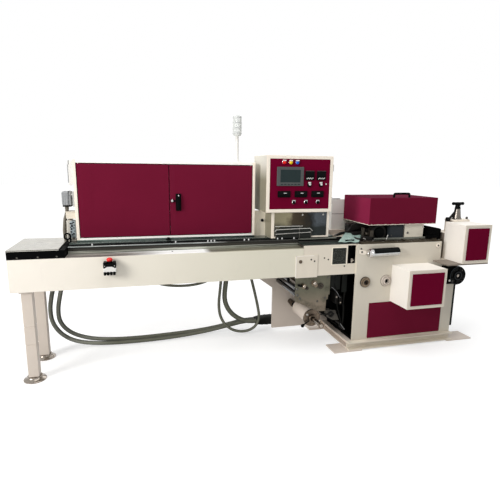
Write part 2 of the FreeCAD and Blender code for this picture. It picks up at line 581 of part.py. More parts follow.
def film_bay():
    """Roller plate, rollers and the film arbor on its spindle"""
    plate("roller_plate", [("film_tail_x", "0"), ("film_plate_w - film_tail_in", "0"),
                           ("film_plate_w", "film_tail_h - film_plate_h"),
                           ("film_plate_w", "film_tail_h"), ("0", "film_tail_h"),
                           ("0", "film_tail_h - film_plate_h")],
          "film_plate_t", "film_plate_x", "film_plate_y", "beam_z - film_tail_h")
    rollers = []
    behind = "(film_plate_y + film_plate_t)"
    for number in range(2):
        x = "film_plate_x + roller_x + %d * roller_pitch" % number
        rollers.append(cylinder(x, behind, "roller_z", "roller_d", "beam_depth - " + behind, "Y"))
        rollers.append(cylinder(x, "film_plate_y - roller_out", "roller_z", "roller_d",
                                "roller_out", "Y"))
    spindle_y = "arbor_y - spindle_out"
    rollers.append(cylinder("arbor_x", spindle_y, "arbor_z", "spindle_d",
                            "beam_depth - (%s)" % spindle_y, "Y"))
    keep("film_shafts", group(*rollers))
    tube = cylinder("arbor_x", "arbor_y", "arbor_z", "arbor_d", "arbor_len", "Y")
    disc = cylinder("arbor_x", "arbor_y - disc_t", "arbor_z", "disc_d", "disc_t", "Y")
    bore = cylinder("arbor_x", "arbor_y - disc_t - 1", "arbor_z", "spindle_d + 2 * pin_clear",
                    "arbor_len + disc_t + 2", "Y")
    keep("film_arbor", cut(fuse(tube, disc), bore))
    keep("hose_sleeve", box("sleeve_x", REAR_BACK, "sleeve_z", "sleeve_len", "sleeve_depth",
                            "sleeve_h"))


# Hoses: the points of each route, from the beam's underside, in the part's own frame
HOSES = {
    "hose_a": (32, [(84, 388, 610), (84, 388, 530), (58, 410, 440), (38, 426, 335), (44, 440, 225),
                    (100, 450, 122), (200, 458, 52), (350, 465, 18), (610, 440, 17),
                    (930, 455, 18), (1210, 472, 36), (1430, 488, 68), (1560, 495, 88),
                    (1650, 495, 88)]),
    "hose_b": (32, [(140, 389, 610), (140, 389, 530), (116, 412, 440), (92, 434, 335),
                    (92, 452, 228), (142, 488, 132), (232, 508, 70), (370, 520, 28),
                    (610, 508, 17), (950, 525, 18), (1230, 532, 32), (1440, 535, 64),
                    (1560, 536, 88), (1650, 536, 88)]),
    "hose_c": (40, [(1380, 397, 610), (1380, 397, 545), (1374, 408, 470), (1368, 422, 395),
                    (1368, 432, 320), (1387, 440, 255), (1422, 446, 197), (1471, 449, 150),
                    (1530, 451, 117), (1590, 452, 100), (1650, 452, 100)]),
    "hose_d": (24, [(1572, 391, 610), (1572, 391, 545), (1598, 396, 450), (1626, 398, 340),
                    (1650, 400, 235), (1664, 402, 150), (1642, 404, 82), (1590, 407, 40),
                    (1510, 412, 28), (1425, 416, 52), (1358, 418, 115), (1322, 414, 200),
                    (1314, 408, 300), (1322, 398, 395), (1328, 390, 475), (1332, 384, 545),
                    (1332, 384, 610)]),
    "hose_e": (22, [(770, 380, 610), (770, 380, 560), (800, 381, 514), (870, 383, 488),
                    (950, 385, 474), (1040, 386, 468), (1130, 385, 475), (1205, 383, 493),
                    (1258, 381, 526), (1276, 380, 566), (1276, 380, 610)]),
}
BEND_SHARE = 0.45


def hose(label, diameter, points):
    """A round hose along straight runs joined by tangent arcs"""
    corners = [FreeCAD.Vector(*point) for point in points]
    edges = []
    start = corners[0]
    radii = []
    for before, corner, after in zip(corners, corners[1:], corners[2:]):
        back = (before - corner).normalize()
        ahead = (after - corner).normalize()
        turn = math.pi - back.getAngle(ahead)
        shorter = min(before.distanceToPoint(corner), corner.distanceToPoint(after))
        reach = BEND_SHARE * shorter
        radius = reach / math.tan(turn / 2)
        radii.append(round(radius))
        enter = corner + back * reach
        leave = corner + ahead * reach
        centre = corner + (back + ahead).normalize() * (reach ** 2 + radius ** 2) ** 0.5
        middle = centre + (corner - centre).normalize() * radius
        edges.append(Part.LineSegment(start, enter).toShape())
        edges.append(Part.Arc(enter, middle, leave).toShape())
        start = leave
    edges.append(Part.LineSegment(start, corners[-1]).toShape())
    path = Part.Wire(edges)
    ring = Part.makeCircle(diameter / 2, corners[0], corners[1] - corners[0])
    tube = path.makePipeShell([Part.Wire([ring])], True, False)
    item = doc.addObject("Part::Feature", label)
    item.Shape = tube if tube.ShapeType == "Solid" else Part.Solid(tube)
    expected = math.pi * diameter ** 2 / 4 * path.Length
    print("%s: length %.0f, smallest radius %d, volume share %.4f, radii %s"
          % (label, path.Length, min(radii), item.Shape.Volume / expected, radii))
    return keep(label, item)


infeed()
cabinet()
control_station()
forming_station()
body_of_machine()
base()
guards()
hood()
film_bay()
for name, (diameter, points) in HOSES.items():
    hose(name, diameter, points)

doc.recompute()
for item in doc.Objects:
    if "Invalid" in item.State or "Error" in item.State:
        raise ValueError("%s failed: %s" % (item.Label, item.State))
for label, item in parts.items():
    if item.Shape.isNull() or not item.Shape.isValid() or item.Shape.Volume <= 0:
        raise ValueError("%s has no valid shape" % label)
for label, item in parts.items():
    item.Shape.exportStep("parts/%s.step" % label)
print("%d sub-parts written" % len(parts))
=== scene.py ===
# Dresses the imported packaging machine: camera, light, materials and fine pieces
import json
import math
from collections import namedtuple
import bmesh
import bpy
from mathutils import Matrix, Vector
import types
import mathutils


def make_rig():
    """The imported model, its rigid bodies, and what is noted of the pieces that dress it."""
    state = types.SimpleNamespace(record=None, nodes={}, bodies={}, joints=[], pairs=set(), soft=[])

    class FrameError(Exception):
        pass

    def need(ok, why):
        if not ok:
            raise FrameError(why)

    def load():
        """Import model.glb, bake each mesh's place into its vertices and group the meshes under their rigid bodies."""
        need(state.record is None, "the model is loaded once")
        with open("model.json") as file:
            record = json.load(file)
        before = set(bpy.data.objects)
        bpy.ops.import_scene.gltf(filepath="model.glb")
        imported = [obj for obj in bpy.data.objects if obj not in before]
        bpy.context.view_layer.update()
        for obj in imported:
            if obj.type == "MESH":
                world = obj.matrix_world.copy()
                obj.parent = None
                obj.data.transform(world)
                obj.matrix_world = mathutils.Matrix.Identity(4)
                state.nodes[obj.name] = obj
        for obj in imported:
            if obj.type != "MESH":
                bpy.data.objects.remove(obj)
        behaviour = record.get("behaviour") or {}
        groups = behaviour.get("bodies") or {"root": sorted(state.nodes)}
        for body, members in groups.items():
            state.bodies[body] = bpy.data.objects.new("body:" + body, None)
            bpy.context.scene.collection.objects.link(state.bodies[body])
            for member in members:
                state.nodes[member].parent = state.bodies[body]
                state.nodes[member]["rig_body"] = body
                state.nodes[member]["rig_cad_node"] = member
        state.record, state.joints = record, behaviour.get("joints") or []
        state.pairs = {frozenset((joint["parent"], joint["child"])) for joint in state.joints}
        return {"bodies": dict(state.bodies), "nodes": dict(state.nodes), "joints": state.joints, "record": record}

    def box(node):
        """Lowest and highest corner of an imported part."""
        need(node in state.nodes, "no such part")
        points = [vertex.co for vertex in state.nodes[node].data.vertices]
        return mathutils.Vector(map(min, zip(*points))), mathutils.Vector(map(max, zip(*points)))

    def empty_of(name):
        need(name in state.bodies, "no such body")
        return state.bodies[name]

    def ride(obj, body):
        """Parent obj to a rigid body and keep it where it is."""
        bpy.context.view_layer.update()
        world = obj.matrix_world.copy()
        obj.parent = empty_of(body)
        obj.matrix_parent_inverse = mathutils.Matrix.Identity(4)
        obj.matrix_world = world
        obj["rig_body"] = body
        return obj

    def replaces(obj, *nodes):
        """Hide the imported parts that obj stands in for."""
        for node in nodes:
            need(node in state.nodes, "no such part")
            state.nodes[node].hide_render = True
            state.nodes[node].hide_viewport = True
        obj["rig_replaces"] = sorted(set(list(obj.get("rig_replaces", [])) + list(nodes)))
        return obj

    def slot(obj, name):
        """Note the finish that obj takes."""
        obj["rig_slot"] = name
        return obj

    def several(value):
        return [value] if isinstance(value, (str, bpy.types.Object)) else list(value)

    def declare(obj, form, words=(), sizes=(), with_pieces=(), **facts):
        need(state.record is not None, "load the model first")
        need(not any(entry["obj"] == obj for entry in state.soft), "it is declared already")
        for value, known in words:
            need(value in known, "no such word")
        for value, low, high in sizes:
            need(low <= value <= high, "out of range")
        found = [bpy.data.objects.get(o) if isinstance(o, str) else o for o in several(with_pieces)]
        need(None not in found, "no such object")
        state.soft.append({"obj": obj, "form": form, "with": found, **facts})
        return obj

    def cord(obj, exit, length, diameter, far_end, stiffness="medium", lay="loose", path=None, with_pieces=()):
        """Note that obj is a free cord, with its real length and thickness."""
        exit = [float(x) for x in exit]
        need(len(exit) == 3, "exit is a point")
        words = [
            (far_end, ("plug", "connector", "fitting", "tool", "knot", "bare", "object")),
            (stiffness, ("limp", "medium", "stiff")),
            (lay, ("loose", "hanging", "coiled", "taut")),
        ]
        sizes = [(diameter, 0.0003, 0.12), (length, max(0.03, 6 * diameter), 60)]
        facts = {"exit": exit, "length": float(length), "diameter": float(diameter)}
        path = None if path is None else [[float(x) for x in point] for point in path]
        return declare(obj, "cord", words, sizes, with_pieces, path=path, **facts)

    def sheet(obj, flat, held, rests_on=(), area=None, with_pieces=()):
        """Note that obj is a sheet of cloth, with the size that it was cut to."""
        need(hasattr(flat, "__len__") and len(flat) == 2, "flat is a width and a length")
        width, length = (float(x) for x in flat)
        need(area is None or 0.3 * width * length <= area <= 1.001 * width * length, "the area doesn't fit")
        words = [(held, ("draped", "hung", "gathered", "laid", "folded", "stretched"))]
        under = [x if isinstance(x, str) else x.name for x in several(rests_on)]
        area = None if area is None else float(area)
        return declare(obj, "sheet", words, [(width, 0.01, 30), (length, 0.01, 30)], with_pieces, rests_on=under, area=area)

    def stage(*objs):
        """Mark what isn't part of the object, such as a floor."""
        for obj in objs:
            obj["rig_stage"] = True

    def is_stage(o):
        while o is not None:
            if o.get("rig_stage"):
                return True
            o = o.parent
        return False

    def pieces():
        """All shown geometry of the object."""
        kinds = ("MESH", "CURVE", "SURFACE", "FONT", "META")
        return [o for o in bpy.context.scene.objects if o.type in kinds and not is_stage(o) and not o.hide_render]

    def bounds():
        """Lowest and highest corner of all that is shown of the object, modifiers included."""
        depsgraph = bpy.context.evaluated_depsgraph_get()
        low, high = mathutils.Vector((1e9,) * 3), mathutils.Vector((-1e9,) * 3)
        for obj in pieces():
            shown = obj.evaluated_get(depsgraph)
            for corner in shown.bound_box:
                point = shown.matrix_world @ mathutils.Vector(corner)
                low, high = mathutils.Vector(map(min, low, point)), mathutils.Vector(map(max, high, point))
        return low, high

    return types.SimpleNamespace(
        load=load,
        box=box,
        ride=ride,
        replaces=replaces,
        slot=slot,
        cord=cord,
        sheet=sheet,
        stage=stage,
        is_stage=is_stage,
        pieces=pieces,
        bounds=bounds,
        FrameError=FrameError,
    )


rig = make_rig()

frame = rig.load()
CAD_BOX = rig.bounds()
NODES = frame["nodes"]

# The camera that was fitted to the photograph, in the frame's metres
CAMERA_AT = (0.689, -2.846, 1.3955)
CAMERA_YAW = 0.266
CAMERA_PITCH = -0.194
CAMERA_ROLL = 0.013
FOCAL_SHARE = 419.6 / 500
SENSOR = 36

# Pieces are drawn in millimetres from the beam's left end, its front face and the floor
DATUM = Vector((90, 50, 0))
FRONT, REAR, UP = (0, -1, 0), (0, 1, 0), (0, 0, 1)
Corner = namedtuple("Corner", "x y z")


def span(node):
    """A CAD node's lowest and highest corners in the drawing's millimetres"""
    return [Corner(*(round(1000 * part + shift, 2) for part, shift in zip(corner, DATUM)))
            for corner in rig.box(node)]


def link(name, data):
    """A new object in the scene"""
    item = bpy.data.objects.new(name, data)
    bpy.context.scene.collection.objects.link(item)
    return item


# Materials
GLOSS = "Specular IOR Level"
FINE = 0.0004


class Shader:
    """Node tree of a material or the world, with short ways to add and join nodes"""

    def __init__(self, owner, output="Principled BSDF"):
        owner.use_nodes = True
        self.owner = owner
        self.tree = owner.node_tree
        self.skin = self.tree.nodes[output]

    def fill(self, item, inputs):
        """Sets a node's inputs to numbers and colours, or joins other nodes' outputs to them"""
        for key, value in inputs.items():
            socket = item.inputs[key]
            if isinstance(value, bpy.types.NodeSocket):
                self.tree.links.new(value, socket)
            elif socket.type == "RGBA":
                socket.default_value = (*value, 1)
            else:
                socket.default_value = value

    def node(self, kind, inputs, **settings):
        item = self.tree.nodes.new("ShaderNode" + kind)
        for key, value in settings.items():
            setattr(item, key, value)
        self.fill(item, inputs)
        return item

    def math(self, operation, first, second):
        return self.node("Math", {0: first, 1: second}, operation=operation).outputs[0]

    def where(self, kind="Object"):
        return self.node("TexCoord", {}).outputs[kind]

    def noise(self, size, detail=3.0, stretch=(1, 1, 1), rough=0.55):
        place = self.node("Mapping", {"Vector": self.where(), "Scale": stretch}).outputs["Vector"]
        return self.node("TexNoise", {"Scale": size, "Detail": detail, "Roughness": rough,
                                      "Vector": place}).outputs["Fac"]

    def span(self, value, low, high, start=0.0, end=1.0):
        return self.node("MapRange", {"Value": value, "From Min": low, "From Max": high,
                                      "To Min": start, "To Max": end}).outputs["Result"]

    def vary(self, low, high, *noise):
        """Noise that wanders between two levels"""
        return self.span(self.noise(*noise), 0.3, 0.7, low, high)

    def mix(self, share, first, second):
        factor, colour_a, colour_b, result = 0, 6, 7, 2
        return self.node("Mix", {factor: share, colour_a: first, colour_b: second},
                         data_type="RGBA").outputs[result]

    def along(self, axis):
        return self.node("SeparateXYZ", {"Vector": self.where()}).outputs[axis]

    def uneven(self, axis, reach, *noise):
        """Distance along an axis, with noise that makes its borders uneven"""
        return self.math("ADD", self.along(axis),
                         self.span(self.noise(*noise), 0.2, 0.8, -reach, reach))

    def ramp(self, value, stops):
        item = self.node("ValToRGB", {"Fac": value})
        marks = item.color_ramp.elements
        for number, (where, colour) in enumerate(stops):
            mark = marks[number] if number < len(marks) else marks.new(where)
            mark.position = where
            mark.color = (*colour, 1)
        return item.outputs["Color"]

    def streaked(self, dark, bright):
        """Tone and fine lines of steel along X: fine brushed lines, and long bright and dark streaks that are painted
        reflections
        """
        fine = self.noise(9, 3, (0.6, 60, 60), 0.5)
        both = self.math("ADD", self.noise(3.2, 5, (0.35, 22, 22), 0.6),
                         self.span(fine, 0.3, 0.7, -0.08, 0.08))
        return self.mix(self.span(both, 0.42, 0.62), dark, bright), fine

    def graded(self, tone, drift):
        """The tone, passing into another colour along one axis; several finishes use it for painted light and painted
        shade
        """
        if drift is None:
            return tone
        axis, start, end, colour = drift
        return self.mix(self.span(self.along(axis), start, end), tone, colour)

    def seen(self):
        """One where the camera, a reflection or a look through glass sees the surface"""
        rays = self.node("LightPath", {}).outputs
        total = rays["Is Camera Ray"]
        for extra in ("Is Glossy Ray", "Is Transmission Ray"):
            total = self.math("MAXIMUM", total, rays[extra])
        return total

    def finish(self, tone, rough, height, strength, distance=FINE, levels=()):
        """Puts colour, roughness, bump and fixed levels on the surface"""
        bump = self.node("Bump", {"Strength": strength, "Distance": distance, "Height": height})
        self.fill(self.skin, {"Base Color": tone, "Roughness": rough,
                              "Normal": bump.outputs["Normal"], **dict(levels)})
        return self.owner


def material(name):
    return Shader(bpy.data.materials.new(name))


def shade(colour, share):
    return tuple(min(1.0, part * share) for part in colour)


def paint(name, colour, rough=0.42, grime=0.5, shine=0.5, peel=0.12, drift=None):
    """Sprayed sheet metal: cloudy tone, rubbed and soiled patches, fine orange peel"""
    kit = material(name)
    cloud = kit.span(kit.noise(2.3, 4), 0.35, 0.7)
    tone = kit.mix(cloud, shade(colour, 1 - 0.10 * grime), shade(colour, 1 + 0.05 * grime))
    soil = kit.span(kit.noise(9, 8, (1, 1, 0.35), 0.7), 0.56, 0.78, 0, 0.5 * grime)
    tone = kit.mix(soil, kit.graded(tone, drift), shade(colour, 0.62))
    specks = kit.span(kit.noise(150, 3), 0.68, 0.74, 0, 0.35 * grime)
    return kit.finish(kit.mix(specks, tone, shade(colour, 0.5)),
                      kit.vary(rough - 0.06, rough + 0.10, 14, 6),
                      kit.noise(260, 2), peel, 0.0006, {GLOSS: shine})


def metal(name, colour, rough, grain, spread, stain, bump=0.05, drift=None, stretch=(1, 1, 1)):
    """Bare metal with a brushed or mottled grain, stains and smears"""
    kit = material(name)
    lines = kit.noise(grain, 4, stretch, 0.6)
    tone = kit.mix(kit.span(lines, 0.3, 0.7), shade(colour, 0.86), shade(colour, 1.08))
    cloud = kit.span(kit.noise(11, 7, (1, 1, 1), 0.65), 0.5, 0.75, 0, stain)
    return kit.finish(kit.mix(cloud, kit.graded(tone, drift), shade(colour, 0.35)),
                      kit.vary(max(0.03, rough - spread), rough + spread, grain * 0.6, 4, stretch),
                      lines, bump, levels={"Metallic": 1.0})


def streaks(name, dark, bright, rough, metallic, drift=None):
    """Polished steel along X with long dark and bright streaks: painted reflections over brushed lines"""
    kit = material(name)
    tone, fine = kit.streaked(dark, bright)
    return kit.finish(kit.graded(tone, drift),
                      kit.vary(rough - 0.06, rough + 0.12, 5, 4, (0.5, 12, 12)),
                      fine, 0.06, levels={"Metallic": metallic, GLOSS: 0.3})


def glare_flat(name):
    """The track's flat: brown at its start, a near-white band of painted glare, olive further on"""
    kit = material(name)
    brown, fine = kit.streaked((0.10, 0.085, 0.075), (0.52, 0.47, 0.43))
    olive = kit.streaked((0.12, 0.11, 0.075), (0.36, 0.34, 0.25))[0]
    tone = kit.mix(kit.span(kit.along("X"), 1.0, 1.3), brown, olive)
    start = kit.span(kit.uneven("X", 0.16, 4, 4, (1, 9, 9)), 0.56, 0.86)
    # rubbed marks the painted glare band, which is near white and not metallic
    rubbed = kit.math("MULTIPLY", start, kit.span(kit.along("X"), 1.13, 1.18, 1, 0))
    return kit.finish(kit.mix(rubbed, tone, (0.97, 0.97, 0.96)),
                      kit.vary(0.25, 0.4, 5, 4, (0.5, 12, 12)), fine, 0.06,
                      levels={"Metallic": kit.span(rubbed, 0, 1, 0.45, 0.05)})


def painted_reflection_plate(name):
    """Polished plate with painted reflections: olive, brown, black and slate bands from left to right, near black
    along its lower part
    """
    kit = material(name)
    reflected_bands = kit.ramp(kit.span(kit.uneven("X", 0.07, 7, 5, (1, 1, 0.8), 0.6), 1.66, 2.10), [
        (0.0, (0.19, 0.17, 0.11)), (0.26, (0.23, 0.205, 0.13)), (0.36, (0.06, 0.046, 0.03)),
        (0.55, (0.035, 0.027, 0.018)), (0.68, (0.016, 0.016, 0.015)), (0.78, (0.07, 0.08, 0.09)),
        (1.0, (0.05, 0.057, 0.063))])
    low = kit.span(kit.uneven("Z", 0.03, 9, 4, (0.5, 1, 2)), 0.955, 0.995, 0.85, 0.0)
    return kit.finish(kit.mix(low, reflected_bands, (0.014, 0.017, 0.015)), kit.vary(0.08, 0.2, 12, 4),
                      kit.noise(30, 2), 0.02, levels={"Metallic": 0.9})


def plastic(name, colour, rough=0.45, grain=420, bump=0.15, wear=0.3, shine=0.5):
    """Moulded plastic with a fine texture and rubbed patches"""
    kit = material(name)
    rub = kit.span(kit.noise(18, 6, (1, 1, 1), 0.6), 0.45, 0.75, 0, wear)
    lift = tuple(part + 0.008 + 0.12 * part for part in colour)
    return kit.finish(kit.mix(rub, colour, lift), kit.vary(rough - 0.08, rough + 0.12, 30, 5),
                      kit.noise(grain, 2), bump, levels={GLOSS: shine})


def ribbed(name, colour, deep, drift):
    """Conduit plastic: lighter on the side that faces the front and the light, near black around the back and between
    the ribs: painted light and shade
    """
    kit = material(name)
    facing = kit.node("VectorMath", {0: kit.where("Normal"), 1: (-0.22, -0.94, 0.26)},
                      operation="DOT_PRODUCT").outputs["Value"]
    lit_side = kit.math("ADD", facing, kit.vary(-0.08, 0.08, 16, 5))
    return kit.finish(kit.mix(kit.span(lit_side, 0.30, 0.92), deep, kit.graded(colour, drift)),
                      kit.vary(0.42, 0.62, 30, 5), kit.noise(240, 2), 0.3, levels={GLOSS: 0.15})


def glossy(name, colour, rough=0.06, clear=0.0, shine=0.5, cover=1.0):
    """Lens, glass or polished acrylic with faint smears"""
    kit = material(name)
    smear = kit.noise(24, 6, (1, 1, 3), 0.65)
    return kit.finish(kit.mix(kit.span(smear, 0.4, 0.8), colour, shade(colour, 0.8)),
                      kit.span(smear, 0.3, 0.8, rough, rough + 0.10), kit.noise(60, 2), 0.02,
                      levels={"Transmission Weight": clear, "Alpha": cover, "IOR": 1.49,
                              GLOSS: shine})


# The record's material slots, how their finishes are made, and each finish's colour and values
FINISHES = (
    ("cream_paint", paint, {
        "cream": ((0.72, 0.655, 0.55), 0.40, 0.35),
        "cream_warm": ((0.68, 0.595, 0.52), 0.45, 0.5),
        # cream_light, cream_bright, cream_white and cream_pale are lighter copies of the cream paint, each set to how
        # brightly its parts are lit: painted light
        "cream_light": ((0.95, 0.88, 0.74), 0.40, 0.3),
        "cream_bright": ((0.87, 0.79, 0.68), 0.40, 0.3),
        "cream_white": ((0.87, 0.825, 0.76), 0.40, 0.25),
        "cream_pale": ((0.94, 0.93, 0.88), 0.40, 0.25),
        # cream_beam is painted light: lighter at the beam's left end, darker and greener towards the right
        "cream_beam": ((0.80, 0.75, 0.67), 0.40, 0.3, 0.5, 0.12,
                       ("X", 0.1, 1.5, (0.68, 0.65, 0.535))),
        # cream_body darkens towards the bottom of the body plate: painted shade
        "cream_body": ((0.66, 0.61, 0.515), 0.42, 0.4, 0.5, 0.12,
                       ("Z", 0.55, 0.12, (0.56, 0.515, 0.43))),
        "cream_leg": ((0.58, 0.51, 0.445), 0.45, 0.5),
        # cream_shade is painted shade: light at the top of the control box's left side and dark below it
        "cream_shade": ((0.62, 0.60, 0.53), 0.45, 0.5, 0.5, 0.12,
                        ("Z", 1.42, 1.31, (0.235, 0.22, 0.155))),
        # olive_shade and brown_shade are darker copies of the cream paint for parts that lie in shade: painted shade
        "olive_shade": ((0.25, 0.23, 0.163), 0.45, 0.5),
        "brown_shade": ((0.21, 0.175, 0.145), 0.5, 1.0, 0.2)}),
    ("crimson_paint", paint, {
        "crimson": ((0.140, 0.0083, 0.027), 0.5, 0.45, 0.01, 0.2),
        # crimson_side is a lighter copy for the hood's lit left side, painted light; crimson_top is a paler, pinker
        # copy without gloss for the hood's top, a painted sheen
        "crimson_side": ((0.220, 0.016, 0.053), 0.5, 0.45, 0.01, 0.2),
        "crimson_top": ((0.125, 0.022, 0.042), 0.6, 0.8, 0.0, 0.2),
        "crimson_bright": ((0.134, 0.0015, 0.020), 0.5, 0.35, 0.02, 0.2)}),
    ("black_paint", paint, {
        "black_paint": ((0.006, 0.0065, 0.007), 0.36, 0.8, 0.1),
        "soot": ((0.0018, 0.0019, 0.0021), 0.5, 1.0, 0.02, 0.4),
        "dark_cast": ((0.012, 0.011, 0.010), 0.5, 1.0, 0.1, 0.6),
        "dark_olive": ((0.018, 0.020, 0.018), 0.5, 1.6, 0.1, 0.5),
        "slate": ((0.028, 0.034, 0.040), 0.4, 1.0, 0.15, 0.3)}),
    ("black_paint", glossy, {
        "gloss_black": ((0.003, 0.004, 0.004), 0.08, 0.0, 0.06),
        "rod_black": ((0.006, 0.007, 0.010), 0.10, 0.0, 0.6)}),
    ("stainless", metal, {
        "stainless": ((0.55, 0.56, 0.55), 0.22, 60, 0.08, 0.2, 0.05, None, (1, 14, 14)),
        "stainless_pale": ((0.62, 0.60, 0.54), 0.3, 20, 0.08, 0.25),
        "raw_steel": ((0.118, 0.114, 0.084), 0.42, 22, 0.12, 0.9, 0.2,
                      ("Z", 0.50, 0.37, (0.19, 0.155, 0.118))),
        "dark_steel": ((0.10, 0.095, 0.085), 0.35, 35, 0.12, 0.4, 0.2),
        "rusty_steel": ((0.13, 0.10, 0.075), 0.42, 30, 0.12, 1.0, 0.4),
        "dirty_steel": ((0.06, 0.052, 0.042), 0.45, 55, 0.15, 0.9, 0.5),
        "deck_dirt": ((0.075, 0.062, 0.045), 0.5, 70, 0.12, 1.0, 0.6)}),
    ("stainless", streaks, {
        "rail_steel": ((0.09, 0.095, 0.08), (0.50, 0.51, 0.44), 0.3, 0.5),
        # lip_steel's near-white streaks are a painted reflection, darkening from X 1.12 to 1.32
        "lip_steel": ((0.20, 0.23, 0.22), (0.90, 0.92, 0.91), 0.3, 0.4,
                      ("X", 1.12, 1.32, (0.05, 0.05, 0.045))),
        "table_steel": ((0.014, 0.022, 0.020), (0.19, 0.235, 0.215), 0.2, 0.6),
        "dark_bronze": ((0.006, 0.006, 0.005), (0.04, 0.037, 0.03), 0.35, 0.4),
        "dark_green": ((0.006, 0.009, 0.008), (0.05, 0.065, 0.056), 0.3, 0.4)}),
    ("stainless", glare_flat, {"flat_steel": ()}),
    ("stainless", painted_reflection_plate, {"mirror": ()}),
    ("chrome", metal, {
        "chrome": ((0.62, 0.61, 0.60), 0.08, 40, 0.04, 0.2),
        "barrel_steel": ((0.50, 0.51, 0.51), 0.26, 14, 0.08, 0.35),
        "brown_steel": ((0.20, 0.155, 0.11), 0.38, 45, 0.1, 0.4, 0.2),
        "zinc": ((0.50, 0.49, 0.46), 0.35, 120, 0.1, 0.3, 0.15),
        "nickel": ((0.33, 0.29, 0.25), 0.18, 18, 0.08, 0.8),
        "cone_steel": ((0.19, 0.17, 0.15), 0.28, 30, 0.08, 0.6, 0.08),
        "silver": ((0.62, 0.62, 0.61), 0.22, 60, 0.06, 0.15)}),
    ("black_plastic", plastic, {
        "black_plastic": ((0.0025, 0.003, 0.003), 0.42, 420, 0.15, 0.06, 0.03),
        "rubber": ((0.008, 0.008, 0.007), 0.7, 200, 0.3, 0.3, 0.1),
        "bezel": ((0.074, 0.078, 0.078), 0.5, 420, 0.15, 0.2, 0.2),
        "screen": ((0.014, 0.025, 0.026), 0.35, 90, 0.03, 0.2, 0.15)}),
    ("red_plastic", plastic, {"red_plastic": ((0.66, 0.02, 0.015), 0.3, 420, 0.15, 0.2, 0.3)}),
    ("red_plastic", glossy, {"red_lens": ((0.80, 0.008, 0.006), 0.12, 0.0, 0.2)}),
    ("lamp_glass", glossy, {
        "yellow_lens": ((0.90, 0.60, 0.005), 0.12, 0.0, 0.2),
        "blue_lens": ((0.01, 0.12, 0.62), 0.12, 0.0, 0.2),
        "clear": ((0.80, 0.82, 0.80), 0.1, 0.35)}),
    ("grey_plastic", plastic, {
        "beige_plastic": ((0.42, 0.39, 0.31), 0.5, 120, 0.3, 0.5),
        "brown_sleeve": ((0.15, 0.135, 0.11), 0.6, 60, 0.6, 1.0, 0.3),
        "grey_plastic": ((0.30, 0.31, 0.32), 0.5),
        "white_plastic": ((0.70, 0.69, 0.66), 0.45)}),
    ("grey_plastic", paint, {
        "grey_warm": ((0.48, 0.46, 0.41), 0.5, 1.4),
        "blue_grey": ((0.24, 0.29, 0.31), 0.45, 1.6),
        "bracket_grey": ((0.090, 0.082, 0.070), 0.5, 1.8, 0.2, 0.5)}),
    ("dark_acrylic", glossy, {"pane": ((0.030, 0.034, 0.024), 0.05, 0.0, 0.35, 0.5)}),
    ("dark_acrylic", plastic, {"film": ((0.32, 0.45, 0.40), 0.3, 90, 0.1, 0.6, 0.4)}),
    # the conduit's lit tone darkens from X 0.2 to 0.5 and stays dark beyond: painted shade
    ("grey_conduit", ribbed, {"conduit": ((0.27, 0.275, 0.235), (0.020, 0.022, 0.015),
                                          ("X", 0.2, 0.5, (0.160, 0.163, 0.125)))}),
)
MATERIALS, SLOTS = {}, {}
for slot, make, table in FINISHES:
    for name, values in table.items():
        MATERIALS[name] = make(name, *values)
        SLOTS[name] = slot


# Mesh building
def skin(mesh, rings, wrap=True, caps=False):
    """Faces between each ring of points and the next; a ring of one point is a tip"""
    for near, far in zip(rings, rings[1:]):
        count = max(len(near), len(far))
        for step in range(count if wrap else count - 1):
            after = (step + 1) % count
            corners = dict.fromkeys((near[step % len(near)], near[after % len(near)],
                                     far[after % len(far)], far[step % len(far)]))
            if len(corners) > 2:
                mesh.faces.new(list(corners))
    if caps:
        mesh.faces.new(rings[0][::-1])
        mesh.faces.new(rings[-1])


def slab(low, high, bevel=2.0, steps=2):
    """A box with rounded edges between two corners"""
    def add(mesh):
        size = [b - a for a, b in zip(low, high)]
        made = bmesh.ops.create_cube(mesh, size=1)["verts"]
        bmesh.ops.scale(mesh, verts=made, vec=size)
        bmesh.ops.translate(mesh, verts=made, vec=[(a + b) / 2 for a, b in zip(low, high)])
        round_edges(mesh, {edge for vert in made for edge in vert.link_edges},
                    min(bevel, min(size) * 0.4), steps)
    return add


def row(count, pitch, low, high, *edge):
    """Equal boxes side by side along X; the corners are the first one's"""
    return [slab((low[0] + step * pitch, *low[1:]), (high[0] + step * pitch, *high[1:]), *edge)
            for step in range(count)]


def pads(x, face, z=0):
    """Makes boxes on a face that looks to the front, measured from a point on it"""
    def pad(x0, x1, z0, z1, out, back=0, *edge):
        return slab((x + x0, face - out, z + z0), (x + x1, face - back, z + z1), *edge)
    return pad


def round_edges(mesh, edges, width, steps=2):
    if width > 0:
        bmesh.ops.bevel(mesh, geom=list(edges), offset=width, segments=steps, affect="EDGES",
                        profile=0.5)


def turns(sides):
    return [2 * math.pi * step / sides for step in range(sides)]


def lathe(at, axis, profile, sides=32):
    """A turned piece: profile is pairs of (distance along the axis, radius)"""
    def add(mesh):
        aim = Vector(axis).normalized().to_track_quat("Z", "Y").to_matrix()
        skin(mesh, [[mesh.verts.new(Vector(at) + aim @ Vector((
            radius * math.cos(turn), radius * math.sin(turn), along)))
            for turn in turns(sides)[:None if radius else 1]] for along, radius in profile])
    return add


def rod(start, end, radius, edge=1.0, sides=24):
    """A straight round bar with slightly rounded ends"""
    run = Vector(end) - Vector(start)
    reach = run.length
    edge = min(edge, radius * 0.5, reach * 0.4)
    return lathe(start, run, [(0, 0), (0, radius - edge), (edge, radius), (reach - edge, radius),
                              (reach, radius - edge), (reach, 0)], sides)


